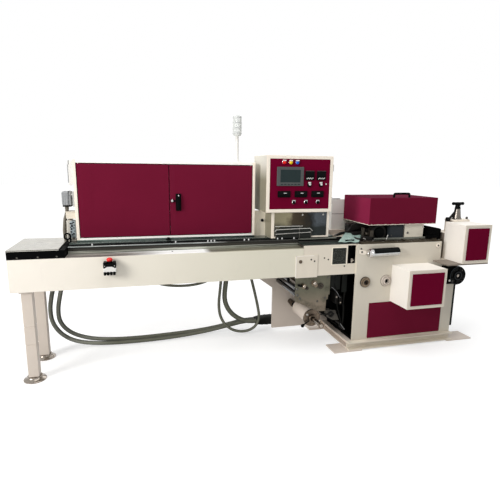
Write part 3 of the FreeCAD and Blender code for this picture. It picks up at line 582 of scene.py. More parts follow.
def tube(start, end, outer, inner, edge=1.0, sides=32):
    """A straight round tube, open through its middle"""
    run = Vector(end) - Vector(start)
    reach = run.length
    return lathe(start, run, [(edge, inner), (0, inner + edge), (0, outer - edge), (edge, outer),
                              (reach - edge, outer), (reach, outer - edge),
                              (reach, inner + edge), (reach - edge, inner), (edge, inner)], sides)


def prism(outline, low, high, axis=1, bevel=1.5):
    """A plate: an outline in the two other axes, drawn out between low and high along one axis"""
    def spot(pair, depth):
        return (*pair[:axis], depth, *pair[axis:])

    def add(mesh):
        near, far = ([mesh.verts.new(spot(pair, depth)) for pair in outline]
                     for depth in (low, high))
        faces = [mesh.faces.new(near), mesh.faces.new(far[::-1])]
        for step in range(len(outline)):
            after = (step + 1) % len(outline)
            faces.append(mesh.faces.new((near[after], near[step], far[step], far[after])))
        bmesh.ops.recalc_face_normals(mesh, faces=faces)
        round_edges(mesh, {edge for face in faces for edge in face.edges}, bevel)
    return add


def rim(x0, x1, z0, z1, edge, near, far, bevel=1.5):
    """A flat rectangular frame that faces the front, from y near to y far"""
    def add(mesh):
        corners = {}
        for inset in (0, edge):
            loop = [(x0 + inset, z0 + inset), (x1 - inset, z0 + inset), (x1 - inset, z1 - inset),
                    (x0 + inset, z1 - inset)]
            for y in (near, far):
                corners[inset, y] = [mesh.verts.new((x, y, z)) for x, z in loop]
        faces = []
        for first, second in (((0, near), (edge, near)), ((0, far), (edge, far)),
                              ((0, near), (0, far)), ((edge, near), (edge, far))):
            one, other = corners[first], corners[second]
            for step in range(4):
                after = (step + 1) % 4
                faces.append(mesh.faces.new((one[step], one[after], other[after], other[step])))
        bmesh.ops.recalc_face_normals(mesh, faces=faces)
        sharp = [line for line in {line for face in faces for line in face.edges}
                 if line.calc_face_angle(0) > 0.5]
        round_edges(mesh, sharp, min(bevel, edge * 0.4))
    return add


def bolt(at, axis, radius=6.0, height=6.0, socket=True):
    """A cap screw on a washer, standing on a face; without a socket it has a hexagon head"""
    lift, middle = height * 0.25, height * 0.5
    profile = [(lift, radius), (height - 1, radius), (height, radius - 1)]
    if socket:
        profile += [(height, radius * 0.5), (middle, radius * 0.5), (middle, 0)]
    else:
        profile += [(height, 0)]
    return [lathe(at, axis, [(0, radius * 1.5), (lift, radius * 1.45), (lift, 0)], 20),
            lathe(at, axis, profile, 20 if socket else 6)]


def bolt_circle(x, y, z, reach, angles, radius, height):
    """Cap screws that face the front, around a point"""
    return [bolt((x + reach * math.cos(turn), y, z + reach * math.sin(turn)), FRONT, radius, height)
            for turn in angles]


def smooth_line(points, steps):
    """The points of a smooth line that is drawn towards the given ones"""
    curve = bpy.data.curves.new("line", "CURVE")
    curve.dimensions = "3D"
    curve.resolution_u = steps
    spline = curve.splines.new("NURBS")
    spline.points.add(len(points) - 1)
    for point, place in zip(spline.points, points):
        point.co = (*place, 1)
    spline.order_u = 3
    spline.use_endpoint_u = True
    item = bpy.data.objects.new("line", curve)
    mesh = bpy.data.meshes.new_from_object(item)
    line = [vert.co.copy() for vert in mesh.vertices]
    bpy.data.meshes.remove(mesh)
    bpy.data.objects.remove(item)
    bpy.data.curves.remove(curve)
    return line


def sweep(mesh, path, side, sides):
    """A closed hose along a path of places, directions and radii"""
    rings = []
    for place, ahead, radius in path:
        side = (side - ahead * side.dot(ahead)).normalized()
        over = ahead.cross(side)
        rings.append([mesh.verts.new(
            place + radius * (side * math.cos(turn) + over * math.sin(turn)))
            for turn in turns(sides)])
    skin(mesh, rings, caps=True)


def bent(points, radius, sides=14):
    """A round sleeve that bends through a few points"""
    def add(mesh):
        line = smooth_line(points, 8)
        ends = zip(line[:1] + line, line[1:] + line[-1:])
        sweep(mesh, [(place, (after - before).normalized(), radius)
                     for place, (before, after) in zip(line, ends)], Vector((0.3, 1, 0.2)), sides)
    return add


def flat(shapes):
    """The single shapes in a shape or in lists of them"""
    if not isinstance(shapes, list):
        return [shapes]
    return [single for shape in shapes for single in flat(shape)]


def smooth_mesh(name, mesh):
    data = bpy.data.meshes.new(name)
    mesh.to_mesh(data)
    mesh.free()
    data.polygons.foreach_set("use_smooth", [True] * len(data.polygons))
    return data


def piece(name, finish, shapes, body="machine", replaces=None):
    """Makes one object of the shapes, in one finish, that rides on a body"""
    mesh = bmesh.new()
    for shape in flat(shapes):
        shape(mesh)
    bmesh.ops.recalc_face_normals(mesh, faces=mesh.faces)
    for vert in mesh.verts:
        vert.co = (vert.co - DATUM) / 1000
    item = link(name, smooth_mesh(name, mesh))
    item.data.set_sharp_from_angle(angle=math.radians(38))
    item.data.materials.append(MATERIALS[finish])
    item.modifiers.new("even", "WEIGHTED_NORMAL").keep_sharp = True
    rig.ride(item, body)
    if replaces:
        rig.replaces(item, replaces)
    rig.slot(item, SLOTS[finish])
    return item


def finish_node(node, finish):
    """Gives a CAD node that stays a better material"""
    coats = NODES[node].data.materials
    if not coats:
        coats.append(None)
    for number in range(len(coats)):
        coats[number] = MATERIALS[finish]


# Camera and light
def camera():
    forward = Vector((math.sin(CAMERA_YAW) * math.cos(CAMERA_PITCH),
                      math.cos(CAMERA_YAW) * math.cos(CAMERA_PITCH), math.sin(CAMERA_PITCH)))
    level = Vector((math.cos(CAMERA_YAW), -math.sin(CAMERA_YAW), 0))
    upright = level.cross(forward)
    right = level * math.cos(CAMERA_ROLL) + upright * math.sin(CAMERA_ROLL)
    up = upright * math.cos(CAMERA_ROLL) - level * math.sin(CAMERA_ROLL)
    data = bpy.data.cameras.new("view")
    data.sensor_width = SENSOR
    data.lens = SENSOR * FOCAL_SHARE
    data.clip_end = 80
    item = link("view", data)
    turn = Matrix((right, up, -forward)).transposed().to_4x4()
    item.matrix_world = Matrix.Translation(CAMERA_AT) @ turn
    bpy.context.scene.camera = item


def lamp(name, at, target, size, watts, tint=(1, 1, 1)):
    data = bpy.data.lights.new(name, "AREA")
    data.shape = "RECTANGLE"
    data.size, data.size_y = size
    data.energy = watts
    data.color = tint
    item = link(name, data)
    item.location = at
    item.rotation_euler = (Vector(target) - Vector(at)).to_track_quat("-Z", "Y").to_euler()


def surroundings():
    """White backdrop, pale floor that keeps the shadow, and soft light from above and the left"""
    bpy.context.scene.view_settings.view_transform = "Standard"
    world = bpy.data.worlds.new("studio")
    bpy.context.scene.world = world
    sky = Shader(world, "Background")
    sky.fill(sky.skin, {"Color": (1, 1, 1), "Strength": sky.span(sky.seen(), 0, 1, 0.46, 1.0)})

    reach, middle = 30, (1.6, 0.2, 0)
    data = bpy.data.meshes.new("floor")
    corners = [(-reach, -reach, 0), (reach, -reach, 0), (reach, reach, 0), (-reach, reach, 0)]
    data.from_pydata(corners, [], [(0, 1, 2, 3)])
    floor = link("floor", data)
    ground = material("floor")
    away = ground.node("VectorMath", {0: ground.where(), 1: middle}, operation="DISTANCE")
    glow = ground.math("MULTIPLY", ground.seen(),
                       ground.span(away.outputs["Value"], 1.8, 5.0, 0.50, 0.75))
    ground.fill(ground.skin, {"Base Color": (0.60, 0.60, 0.60), "Roughness": 0.9, GLOSS: 0.1,
                              "Emission Color": (1, 1, 1), "Emission Strength": glow})
    data.materials.append(ground.owner)
    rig.stage(floor)

    lamp("key", (-3.5, -2.6, 2.6), (1.6, 0, 0.8), (2.0, 2.0), 250, (1.0, 0.985, 0.965))
    lamp("top", (1.9, -0.4, 4.4), (1.8, 0.2, 0.8), (4.5, 3.0), 110)
    lamp("back", (2.0, 4.5, 3.0), (1.6, 0.2, 0.8), (4.0, 2.0), 40)


# Conduits: thickness, stiffness and the points of each route, in the frame's metres
ROUTES = {
    "hose_a": (0.032, "medium", [
        (0.084, 0.388, 0.61), (0.084, 0.388, 0.53), (0.058, 0.41, 0.44), (0.038, 0.426, 0.335),
        (0.044, 0.44, 0.225), (0.1, 0.45, 0.122), (0.2, 0.458, 0.052), (0.35, 0.465, 0.018),
        (0.61, 0.44, 0.017), (0.93, 0.455, 0.018), (1.21, 0.472, 0.036), (1.43, 0.488, 0.068),
        (1.56, 0.495, 0.088), (1.65, 0.495, 0.088)]),
    "hose_b": (0.032, "medium", [
        (0.14, 0.389, 0.61), (0.14, 0.389, 0.53), (0.116, 0.412, 0.44), (0.092, 0.434, 0.335),
        (0.092, 0.452, 0.228), (0.142, 0.488, 0.132), (0.232, 0.508, 0.07), (0.37, 0.52, 0.028),
        (0.61, 0.508, 0.017), (0.95, 0.525, 0.018), (1.23, 0.532, 0.032), (1.44, 0.535, 0.064),
        (1.56, 0.536, 0.088), (1.65, 0.536, 0.088)]),
    "hose_c": (0.040, "medium", [
        (1.38, 0.397, 0.61), (1.38, 0.397, 0.545), (1.374, 0.408, 0.47), (1.368, 0.422, 0.395),
        (1.368, 0.432, 0.32), (1.387, 0.44, 0.255), (1.422, 0.446, 0.197), (1.471, 0.449, 0.15),
        (1.53, 0.451, 0.117), (1.59, 0.452, 0.1), (1.65, 0.452, 0.1)]),
    "hose_d": (0.024, "limp", [
        (1.572, 0.391, 0.61), (1.572, 0.391, 0.545), (1.598, 0.396, 0.45), (1.626, 0.398, 0.34),
        (1.65, 0.4, 0.235), (1.664, 0.402, 0.15), (1.642, 0.404, 0.082), (1.59, 0.407, 0.04),
        (1.51, 0.412, 0.028), (1.425, 0.416, 0.052), (1.358, 0.418, 0.115), (1.322, 0.414, 0.2),
        (1.314, 0.408, 0.3), (1.322, 0.398, 0.395), (1.328, 0.39, 0.475), (1.332, 0.384, 0.545),
        (1.332, 0.384, 0.61)]),
    "hose_e": (0.022, "limp", [
        (0.77, 0.38, 0.61), (0.77, 0.38, 0.56), (0.8, 0.381, 0.514), (0.87, 0.383, 0.488),
        (0.95, 0.385, 0.474), (1.04, 0.386, 0.468), (1.13, 0.385, 0.475), (1.205, 0.383, 0.493),
        (1.258, 0.381, 0.526), (1.276, 0.38, 0.566), (1.276, 0.38, 0.61)]),
}


def stations(line, pitch):
    """Places and directions at an even pitch along a line, and the line's length"""
    lengths = [0.0]
    for near, far in zip(line, line[1:]):
        lengths.append(lengths[-1] + (far - near).length)
    total = lengths[-1]
    count = int(total / pitch)
    found = []
    at = 0
    for step in range(count + 1):
        want = total * step / count
        while at < len(line) - 2 and lengths[at + 1] < want:
            at += 1
        share = (want - lengths[at]) / max(1e-9, lengths[at + 1] - lengths[at])
        found.append((line[at].lerp(line[at + 1], share), (line[at + 1] - line[at]).normalized()))
    return found, total


def conduit(name, diameter, stiffness, points):
    """A corrugated conduit swept along its route, one station to each rib and each groove"""
    rib_pitch, groove = 0.0022, 0.0013
    found, total = stations(smooth_line(points, 24), rib_pitch)
    mesh = bmesh.new()
    sweep(mesh, [(place, ahead, diameter / 2 - groove * (number % 2))
                 for number, (place, ahead) in enumerate(found)], Vector((0, 1, 0)), 14)
    item = link(name + "_tube", smooth_mesh(name + "_tube", mesh))
    item.data.materials.append(MATERIALS["conduit"])
    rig.ride(item, "machine")
    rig.replaces(item, name)
    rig.slot(item, "grey_conduit")
    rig.cord(item, exit=points[0], length=total, diameter=diameter, far_end="object",
            stiffness=stiffness, lay="loose", path=[place for place, ahead in found])


# Infeed: the pusher track's left end, the table's front edge and the back of its slot
TRACK_START = 338
TABLE_FRONT = 110
SLOT_BACK = 172


def infeed():
    """Beam, end cover, the flat with its painted glare band and the rails of the pusher track, and the slotted table
    """
    beam_low, beam_high = span("infeed_beam")
    piece("beam_shell", "cream_beam", slab(beam_low, beam_high, 3), replaces="infeed_beam")
    cover_low, cover_high = span("end_cover")
    corners = [(cover_low.x + 18 + 264 * across, cover_low.y + 18 + 424 * back) for across in (0, 1)
               for back in (0, 1)]
    piece("end_cover_plate", "stainless_pale", [
        slab(cover_low, cover_high, 1.2),
        slab((cover_low.x, 0, cover_low.z - 2), (cover_high.x, 2.5, cover_high.z), 1)],
          replaces="end_cover")
    piece("end_cover_screws", "zinc", [
        lathe((x, y, cover_high.z - 1), UP, [(0, 5), (1.6, 4.6), (2.0, 3), (2.0, 0)], 16)
        for x, y in corners])
    top, edge = beam_high.z, beam_high.x
    table_low, table_high = span("table_plate")
    piece("track_blocks", "soot", [
        slab((0, 3, top), (TRACK_START - 4, 460, cover_low.z - 2), 1.5),
        slab((TRACK_START, TABLE_FRONT + 8, top), (edge, 460, table_low.z), 1.5)],
          replaces="track_cores")
    piece("track_side_screws", "dark_steel", [
        bolt((x, 3, 832), FRONT, 4, 4) for x in (60, 177, 286)])
    piece("track_flat", "flat_steel",
          slab((TRACK_START, 2, top), (edge, TABLE_FRONT - 2, top + 5), 1), replaces="track_strips")
    for name, finish, x0, x1, near, far, z0, z1 in (
            ("track_rail", "rail_steel", TRACK_START, edge, 0, 8, top, 842),
            ("track_groove", "dark_bronze", TRACK_START, edge, 4, 10, 842, 866),
            ("table_lip", "lip_steel", TRACK_START, edge, 0, 10, 866, 872),
            ("table_lip_end", "rail_steel", edge, table_high.x, 0, 10, 867, 877)):
        piece(name, finish, slab((x0, TABLE_FRONT + near, z0), (x1, TABLE_FRONT + far, z1), 1))
    piece("table_sheet", "table_steel",
          slab((TRACK_START, SLOT_BACK, table_low.z), (table_high.x, 460, table_high.z), 1),
          replaces="table_plate")
    piece("table_slot", "soot",
          slab((TRACK_START, TABLE_FRONT + 9, table_low.z), (table_high.x, SLOT_BACK, 874), 0.5))
    piece("table_fingers", "silver", [
        slab((x - 5, TABLE_FRONT + 9, 870), (x + 5, TABLE_FRONT + 17, 887), 2)
        for x in (487, 1035, 1262, 1286, 1310, 1530, 1562, 1785, 1820, 1915)])
    piece("table_latch", "black_plastic", [
        slab((978, 214, 880), (1010, 234, 888), 2), slab((986, 216, 880), (1002, 228, 898), 2),
        rod((1000, 140, 873), (1000, 140, 886), 9, 2),
        rod((1006, 60, top + 4), (1006, 60, top + 8), 5)])


def stop_station():
    """Stop button: enclosure with a black cap, pale middle and black terminal foot"""
    low, high = span("stop_box")
    left, right, front = low.x, high.x, low.y
    lift = 8
    foot, head = low.z + 18, 784 + lift
    middle = (left + right) / 2
    reach = front / 2
    piece("stop_middle", "white_plastic", [
        slab((left, front, foot + 20), (right, -0.5, head - 34), 5, 3),
        prism([(left + 8, head - 44), (right - 8, head - 44), (right - 12, head - 34),
               (middle + 14, head - 27), (middle - 14, head - 27), (left + 12, head - 34)],
              front - 0.5, front + 6, 1, 1.5)], replaces="stop_box")
    ribs = row(4, 19, (left + 2, front - 1, foot), (left + 18, -1, foot + 27), 5)
    ears = [slab((x, front + 1, head - 14), (x + 20, -2, head), 5, 3)
            for x in (left + 1, right - 21)]
    piece("stop_shell", "black_plastic", [
        ribs, ears, slab((left + 1, front + 0.5, head - 40), (right - 1, -0.5, head - 9), 4, 3),
        tube((middle, reach, head - 12), (middle, reach, head + 4), 18, 9.5, 1.5)])
    piece("stop_screws", "zinc", [
        bolt((x, front + 1, head - 22), FRONT, 3, 2) for x in (left + 10, right - 10)])
    crown = span("stop_button")[1].z + lift
    piece("stop_mushroom_cap", "red_plastic", [
        lathe((middle, reach, head - 4), UP, [(0, 0), (0, 7.8), (crown - head - 10, 7.8)]),
        lathe((middle, reach, crown - 24), UP,
              [(0, 0), (0, 12), (2, 15.5), (7, 18.5), (12, 19), (17, 17), (21, 12), (23.4, 6),
               (24, 0)])], body="stop_mushroom", replaces="stop_button")


# Legs and base
def legs():
    """Square legs with a cut line on the front one, and domed disc feet"""
    low, high = span("leg_posts")
    front_y, width = low.y, 65
    back_y = high.y - width
    x0, x1 = low.x, high.x
    cuts = (low.z, 251, 376, high.z)
    front = [slab((x0, front_y, start + 0.8), (x1, front_y + width, end - 0.8), 4)
             for start, end in zip(cuts, cuts[1:])]
    core = slab((x0 + 2.5, front_y + 2.5, low.z), (x1 - 2.5, front_y + width - 2.5, high.z), 2)
    back = slab((x0, back_y, low.z), (x1, back_y + width, high.z), 4)
    piece("leg_tubes", "cream_leg", [front, core, back], replaces="leg_posts")
    middle = (x0 + x1) / 2
    profile = [(0, 0), (0, 69), (1.5, 70), (6, 70), (8.5, 68), (11, 62), (15, 55), (20, 49),
               (24, 46.5), (28, 46), (28, 0)]
    piece("leg_discs", "nickel", [
        lathe((middle, y + width / 2, 0), UP, profile, 48) for y in (front_y, back_y)],
          replaces="leg_feet")
    piece("leg_flanges", "cream_leg", [
        slab((x0 - 9, y - 9, high.z - 8), (x1 + 9, y + width + 9, high.z), 1.5)
        for y in (front_y, back_y)])


def base():
    """Foot plates, and welds where the channels stand on them"""
    low, high = span("foot_plates")
    wide, deep, thick = 240, 156, high.z
    spots = [(x, y) for x in (low.x, high.x - wide) for y in (low.y, high.y - deep)]
    piece("foot_sheets", "cream_warm", [
        slab((x, y, 0), (x + wide, y + deep, thick), 2) for x, y in spots], replaces="foot_plates")
    rail_low, rail_high = span("base_rails")
    welds = []
    for y in (rail_low.y - 2, rail_high.y + 2):
        welds.append([rod((x, y, thick), (x + 9, y, thick + 0.5), 3, 1, 8)
                      for x in range(int(rail_low.x) + 6, int(rail_low.x) + 104, 8)])
    piece("foot_welds", "cream_warm", welds)


# Cabinet
def cabinet():
    """Sheet cabinet, its two doors, the handle and lock, and what the doors hide"""
    (x0, y0, z0), (x1, y1, z1) = span("cabinet_sides")
    wall = 20
    piece("cabinet_cheeks", "cream_bright", [
        slab((x, y0, z0), (x + wall, y1, z1), 2) for x in (x0, x1 - wall)],
          replaces="cabinet_sides")
    cap_low, cap_high = span("cabinet_caps")
    piece("cabinet_lids", "cream_pale", [
        slab((cap_low.x, cap_low.y, z1 - wall), (cap_high.x, cap_high.y, cap_high.z), 1),
        slab((cap_low.x, cap_low.y, cap_low.z), (cap_high.x, cap_high.y, cap_low.z + 25), 1)],
          replaces="cabinet_caps")
    piece("cabinet_foot_strip", "table_steel",
          slab((x0, cap_low.y - 0.6, cap_low.z), (x1, cap_low.y + 1, cap_low.z + 12), 0.3))
    back_low, back_high = span("cabinet_back")
    piece("cabinet_rear", "cream", slab(back_low, back_high, 1), replaces="cabinet_back")
    rows = [back_low.z + 90 + 26 * step for step in range(6)]
    piece("cabinet_vents", "black_paint", [
        slab((x, back_high.y - 1, z), (x + 120, back_high.y + 0.4, z + 6), 1)
        for x in (back_low.x + 120, back_high.x - 240) for z in rows])
    for side in ("left", "right"):
        node = "door_" + side
        door_low, door_high = span(node)
        piece("door_skin_" + side, "crimson", [
            slab(door_low, (door_high.x, door_low.y + 5, door_high.z), 2, 3),
            slab((door_low.x + 3, door_low.y + 2, door_low.z + 3),
                 (door_high.x - 3, door_high.y, door_high.z - 3), 1)], body=side + "_door",
              replaces=node)
    grip_low, grip_high = span("door_handle")
    front = grip_high.y
    lock_x, lock_z = 1027, 1156
    piece("handle_plate", "black_plastic", [
        slab((grip_low.x, front - 8, grip_low.z), (grip_high.x, front, grip_high.z), 7, 4),
        slab((grip_low.x + 8, grip_low.y, grip_low.z + 8),
             (grip_high.x - 8, front - 6, grip_high.z - 22), 6, 4),
        slab((lock_x, front - 7, lock_z - 6), (grip_low.x + 6, front, lock_z + 6), 3),
        rod((lock_x, front - 9, lock_z), (lock_x, front, lock_z), 11, 2)], body="right_door",
          replaces="door_handle")
    piece("handle_lock", "chrome", [
        rod((lock_x, front - 13, lock_z), (lock_x, front - 8, lock_z), 8.5, 1.5),
        rod(((grip_low.x + grip_high.x) / 2, grip_low.y - 0.5, grip_high.z - 14),
            ((grip_low.x + grip_high.x) / 2, front - 7, grip_high.z - 14), 5, 1)],
          body="right_door")
    piece("handle_keyway", "black_paint",
          slab((lock_x - 1, front - 13.6, lock_z - 4), (lock_x + 1, front - 12.5, lock_z + 4), 0),
          body="right_door")
    piece("cabinet_hinges", "zinc", [
        slab((x, y0 + 40, z), (x + 3, y0 + 70, z + 60), 1)
        for x in (x0 + wall - 0.5, x1 - wall - 2.5) for z in (z0 + 70, z1 - 140)])
    cabinet_inside(back_low, back_high)


def cabinet_inside(back_low, back_high):
    """Mounting plate with rails, ducts, breakers, drives and a supply"""
    x0, wide = back_low.x + 40, back_high.x - back_low.x - 80
    face = back_low.y - 4
    pad = pads(x0, face)
    decks = (945, 1145, 1345)
    piece("inside_plate", "zinc", pad(0, wide, 925, 1395, 0, -3.5, 1.5))
    piece("inside_ducts", "grey_plastic", [
        [pad(30, wide - 30, z, z + 38, 45) for z in decks],
        [pad(x, x + 38, 983, 1345, 45) for x in (30, wide - 68)],
        [slab((x, face - 47, z - 5), (x + 7, face - 30, z + 43), 0.8, 1) for z in decks
         for x in range(int(x0) + 80, int(x0 + wide) - 80, 22)]])
    piece("inside_rails", "stainless", [
        pad(90, wide - 90, z, z + 35, 8, 0, 1) for z in (1040, 1245)])
    piece("inside_breakers", "white_plastic", [
        [pad(x, x + 18, 1215, 1300, 70, 8, 3) for x in range(110, 350, 20)],
        [pad(x, x + 20, 1222, 1295, 62, 8, 3) for x in range(400, 592, 24)]])
    piece("inside_toggles", "black_plastic", [
        [pad(x, x + 8, 1252, 1268, 77, 68, 1.5) for x in range(115, 355, 20)],
        [pad(x, x + 44, 1212, 1300, 88, 8, 4) for x in range(640, 840, 50)]])
    piece("inside_drives", "bezel", [
        [pad(x, x + 100, 1000, 1135, 130, 0, 4),
         [pad(x + 8, x + 92, z, z + 3, 133, 128, 1) for z in range(1006, 1036, 6)]]
        for x in range(110, 582, 118)])
    piece("inside_supply", "stainless", pad(620, 800, 1005, 1125, 60))
    piece("inside_blocks", "beige_plastic", [
        pad(x, x + 7.5, 1035, 1085, 45, 8, 1, 1) for x in range(850, 1012, 9)])


def tower():
    """Signal lamp on its pole: foot ring, pole, ribbed pale lens in three rings and a cap"""
    (x0, y0, z0), (x1, y1, z1) = span("tower_pole")
    x, y = (x0 + x1) / 2, (y0 + y1) / 2
    piece("tower_tube", "white_plastic",
          lathe((x, y, z0), UP,
                [(0, 0), (0, 30), (4, 30), (7, 18), (22, 15), (26, 12.5), (z1 - z0, 12.5),
                 (z1 - z0, 0)]), replaces="tower_pole")
    lamp_low, lamp_high = span("tower_lamp")
    reach = lamp_high.z - lamp_low.z
    profile = [(0, 0), (0, 14), (3, 26), (14, 33), (18, 35), (21, 35)]
    for ring in range(3):
        start = 22 + ring * 38
        for rib in range(6):
            profile += [(start + rib * 6, 33.2), (start + rib * 6 + 3, 34.6)]
        profile += [(start + 36, 35), (start + 38, 35)]
    profile += [(reach - 12, 34.5), (reach - 4, 32), (reach, 25), (reach, 0)]
    piece("tower_lens", "clear", lathe((x, y, lamp_low.z), UP, profile, 40), replaces="tower_lamp")
    piece("tower_rings", "grey_plastic", [
        tube((x, y, lamp_low.z + z), (x, y, lamp_low.z + z + 2.5), 35.2, 30, 0.5, 40)
        for z in (20, 58.5, 96.5, 134)])


def side_boxes():
    """Trunking, junction box, cable and the infeed motor beside the cabinet"""
    cheek = span("cabinet_sides")[0].x
    piece("trunking", "white_plastic", [
        slab((350, 262, 1264), (cheek, 342, 1429), 4), slab((347, 266, 1270), (352, 338, 1423), 2)],
          replaces="side_boxes")
    piece("trunking_edge", "grey_plastic", [
        slab((346, 262, 1282), (350, 268, 1400), 1), slab((352, 260, 1400), (356, 264, 1429), 1)])
    piece("junction_box", "grey_plastic", [
        slab((300, 258, 1128), (356, 348, 1222), 6, 3), slab((298, 262, 1134), (302, 344, 1216), 2),
        row(4, 13, (303, 256, 1134), (308, 259, 1216), 1.2)])
    piece("junction_bracket", "zinc", [
        slab((352, 270, 1196), (cheek, 300, 1208), 1.5),
        slab((366, 262, 1120), (cheek, 344, 1222), 1.5),
        slab((352, 300, 1128), (cheek, 330, 1134), 1.5)])
    piece("junction_gasket", "rubber", [
        slab((340, 256, 1120), (346, 350, 1224), 2), slab((302, 257, 1120), (356, 349, 1130), 2)])
    piece("cable_block", "cream", [
        slab((318, 262, 1038), (cheek, 352, 1086), 3),
        slab((314, 258, 1082), (cheek, 356, 1088), 1.5)])
    piece("cable_sleeves", "brown_sleeve", [
        rod((322, 290, 1098), (322, 290, 1122), 12, 2, 6),
        bent([(322, 290, 1106), (318, 288, 1070), (306, 284, 1040), (300, 286, 990),
              (294, 290, 940), (300, 296, 884)], 10),
        bent([(330, 300, 1120), (326, 296, 1080), (312, 290, 1030), (304, 292, 970),
              (303, 296, 884)], 6)])
    (x0, y0, z0), (x1, y1, z1) = span("drive_motor")
    piece("drive_casing", "grey_warm", [
        slab((x0 + 4, y0 + 4, z0 + 12), (x1 - 22, y1, z1), 8, 3),
        slab((x0 + 2, y0 + 2, z0), (x1, y1, z0 + 14), 3)], replaces="drive_motor")
    front = y0
    piece("drive_cover", "blue_grey",
          slab((x1 - 38, front, z0 + 26), (x1 + 2, front + 70, z1 - 6), 9, 3))
    marks = ((341, 1006, 5), (360, 1014, 6), (351, 989, 8), (341, 980, 4), (366, 994, 4),
             (347, 968, 7), (362, 975, 5), (367, 953, 4), (344, 948, 6), (350, 930, 4),
             (360, 934, 7))
    piece("drive_holes", "black_paint", [
        [rod((x, front - 0.8, z), (x, front + 2, z), wide, 0.4, 7) for x, z, wide in marks],
        slab((340, front - 0.6, 1000), (358, front + 2, 1008), 2)])
    piece("drive_pulley", "black_plastic", [
        tube((320, 232, 921), (320, 252, 921), 24, 15, 3),
        slab((334, 234, 884), (344, 250, 914), 3), rod((320, 246, 899), (320, 246, 880), 7, 1)])
    piece("drive_screen", "cream", slab((292, 300, 882), (296, 420, 1010), 1.2))


# Control station
def control_station():
    """Control box with its framed panel, and the plinth with a polished plate below it"""
    low, high = span("control_box")
    panel_low, panel_high = span("control_panel")
    piece("control_shell", "cream", slab(low, high, 4, 3), replaces="control_box")
    edge = panel_low.x - low.x - 1
    piece("control_frame", "cream_bright",
          rim(low.x + 0.4, high.x - 0.4, low.z + 0.4, high.z - 0.4, edge, low.y - 4, low.y + 2, 2))
    # A thin sheet on the control box's left side, only there to paint its shade
    piece("control_side_shade_sheet", "cream_shade",
          slab((low.x - 0.8, low.y + 3, low.z + 3), (low.x + 1, high.y - 3, high.z - 3), 0.5))
    piece("control_plate", "crimson_bright", slab(panel_low, panel_high, 1),
          replaces="control_panel")
    piece("control_hinges", "zinc", [
        rod((high.x + 3, low.y + 4, z), (high.x + 3, low.y + 4, z + 50), 5, 1)
        for z in (low.z + 60, high.z - 110)])
    face = panel_low.y
    instruments(panel_low, face)
    plinth_low, plinth_high = span("control_plinth")
    piece("plinth_shell", "cream_bright", slab(plinth_low, plinth_high, 2),
          replaces="control_plinth")
    # A thin sheet on the plinth's left side, only there to paint its shade
    piece("plinth_side_shade_sheet", "olive_shade",
          slab((plinth_low.x - 0.8, plinth_low.y + 3, plinth_low.z + 2),
               (plinth_low.x + 1, plinth_high.y - 3, plinth_high.z - 2), 0.5))
    x0, x1, z0, z1 = plinth_low.x + 22, plinth_high.x - 22, plinth_low.z + 14, plinth_high.z - 4
    front = plinth_low.y
    piece("plinth_mirror", "mirror", slab((x0, front - 3, z0), (x1, front, z1), 0.8))
    piece("plinth_screws", "zinc", [
        bolt((x, front - 3, 1053), FRONT, 4.5, 4) for x in (1980, 2148)])
    table, line = 880, front - 9
    piece("guide_rods", "zinc", [
        rod((1764, line, 970), (1982, line, 969), 3, 1, 12),
        bent([(1764, line, 933), (1770, line, 943), (1784, line, 946), (2030, line, 951),
              (2046, line, 950), (2062, line, 931)], 3, 12),
        rod((1768, line, 912), (2050, line, 921), 2.5, 1, 12)])
    piece("guide_posts", "dark_steel", [
        rod((x, line + 3, table), (x, line + 3, high), 3, 0.5, 10)
        for x, high in ((1772, 970), (1960, 970), (2052, 940))])
    piece("guide_fence", "dark_olive", [
        slab((1768, line + 4, table), (2056, line + 6, 940), 1),
        slab((1800, line + 4, 952), (1960, line + 6, 964), 1)])
    piece("plinth_side_panel", "cream_light", slab((1646, 282, 880), (1738, 292, 1075), 1.5))
    piece("plinth_side_knob", "black_plastic",
          lathe((1710, 282, 1000), FRONT, [(0, 6), (4, 6), (5, 11), (12, 12), (15, 9), (15, 0)]))
    piece("plinth_side_cap", "silver", rod((1716, 267, 1006), (1716, 265, 1006), 3.5, 0.8))


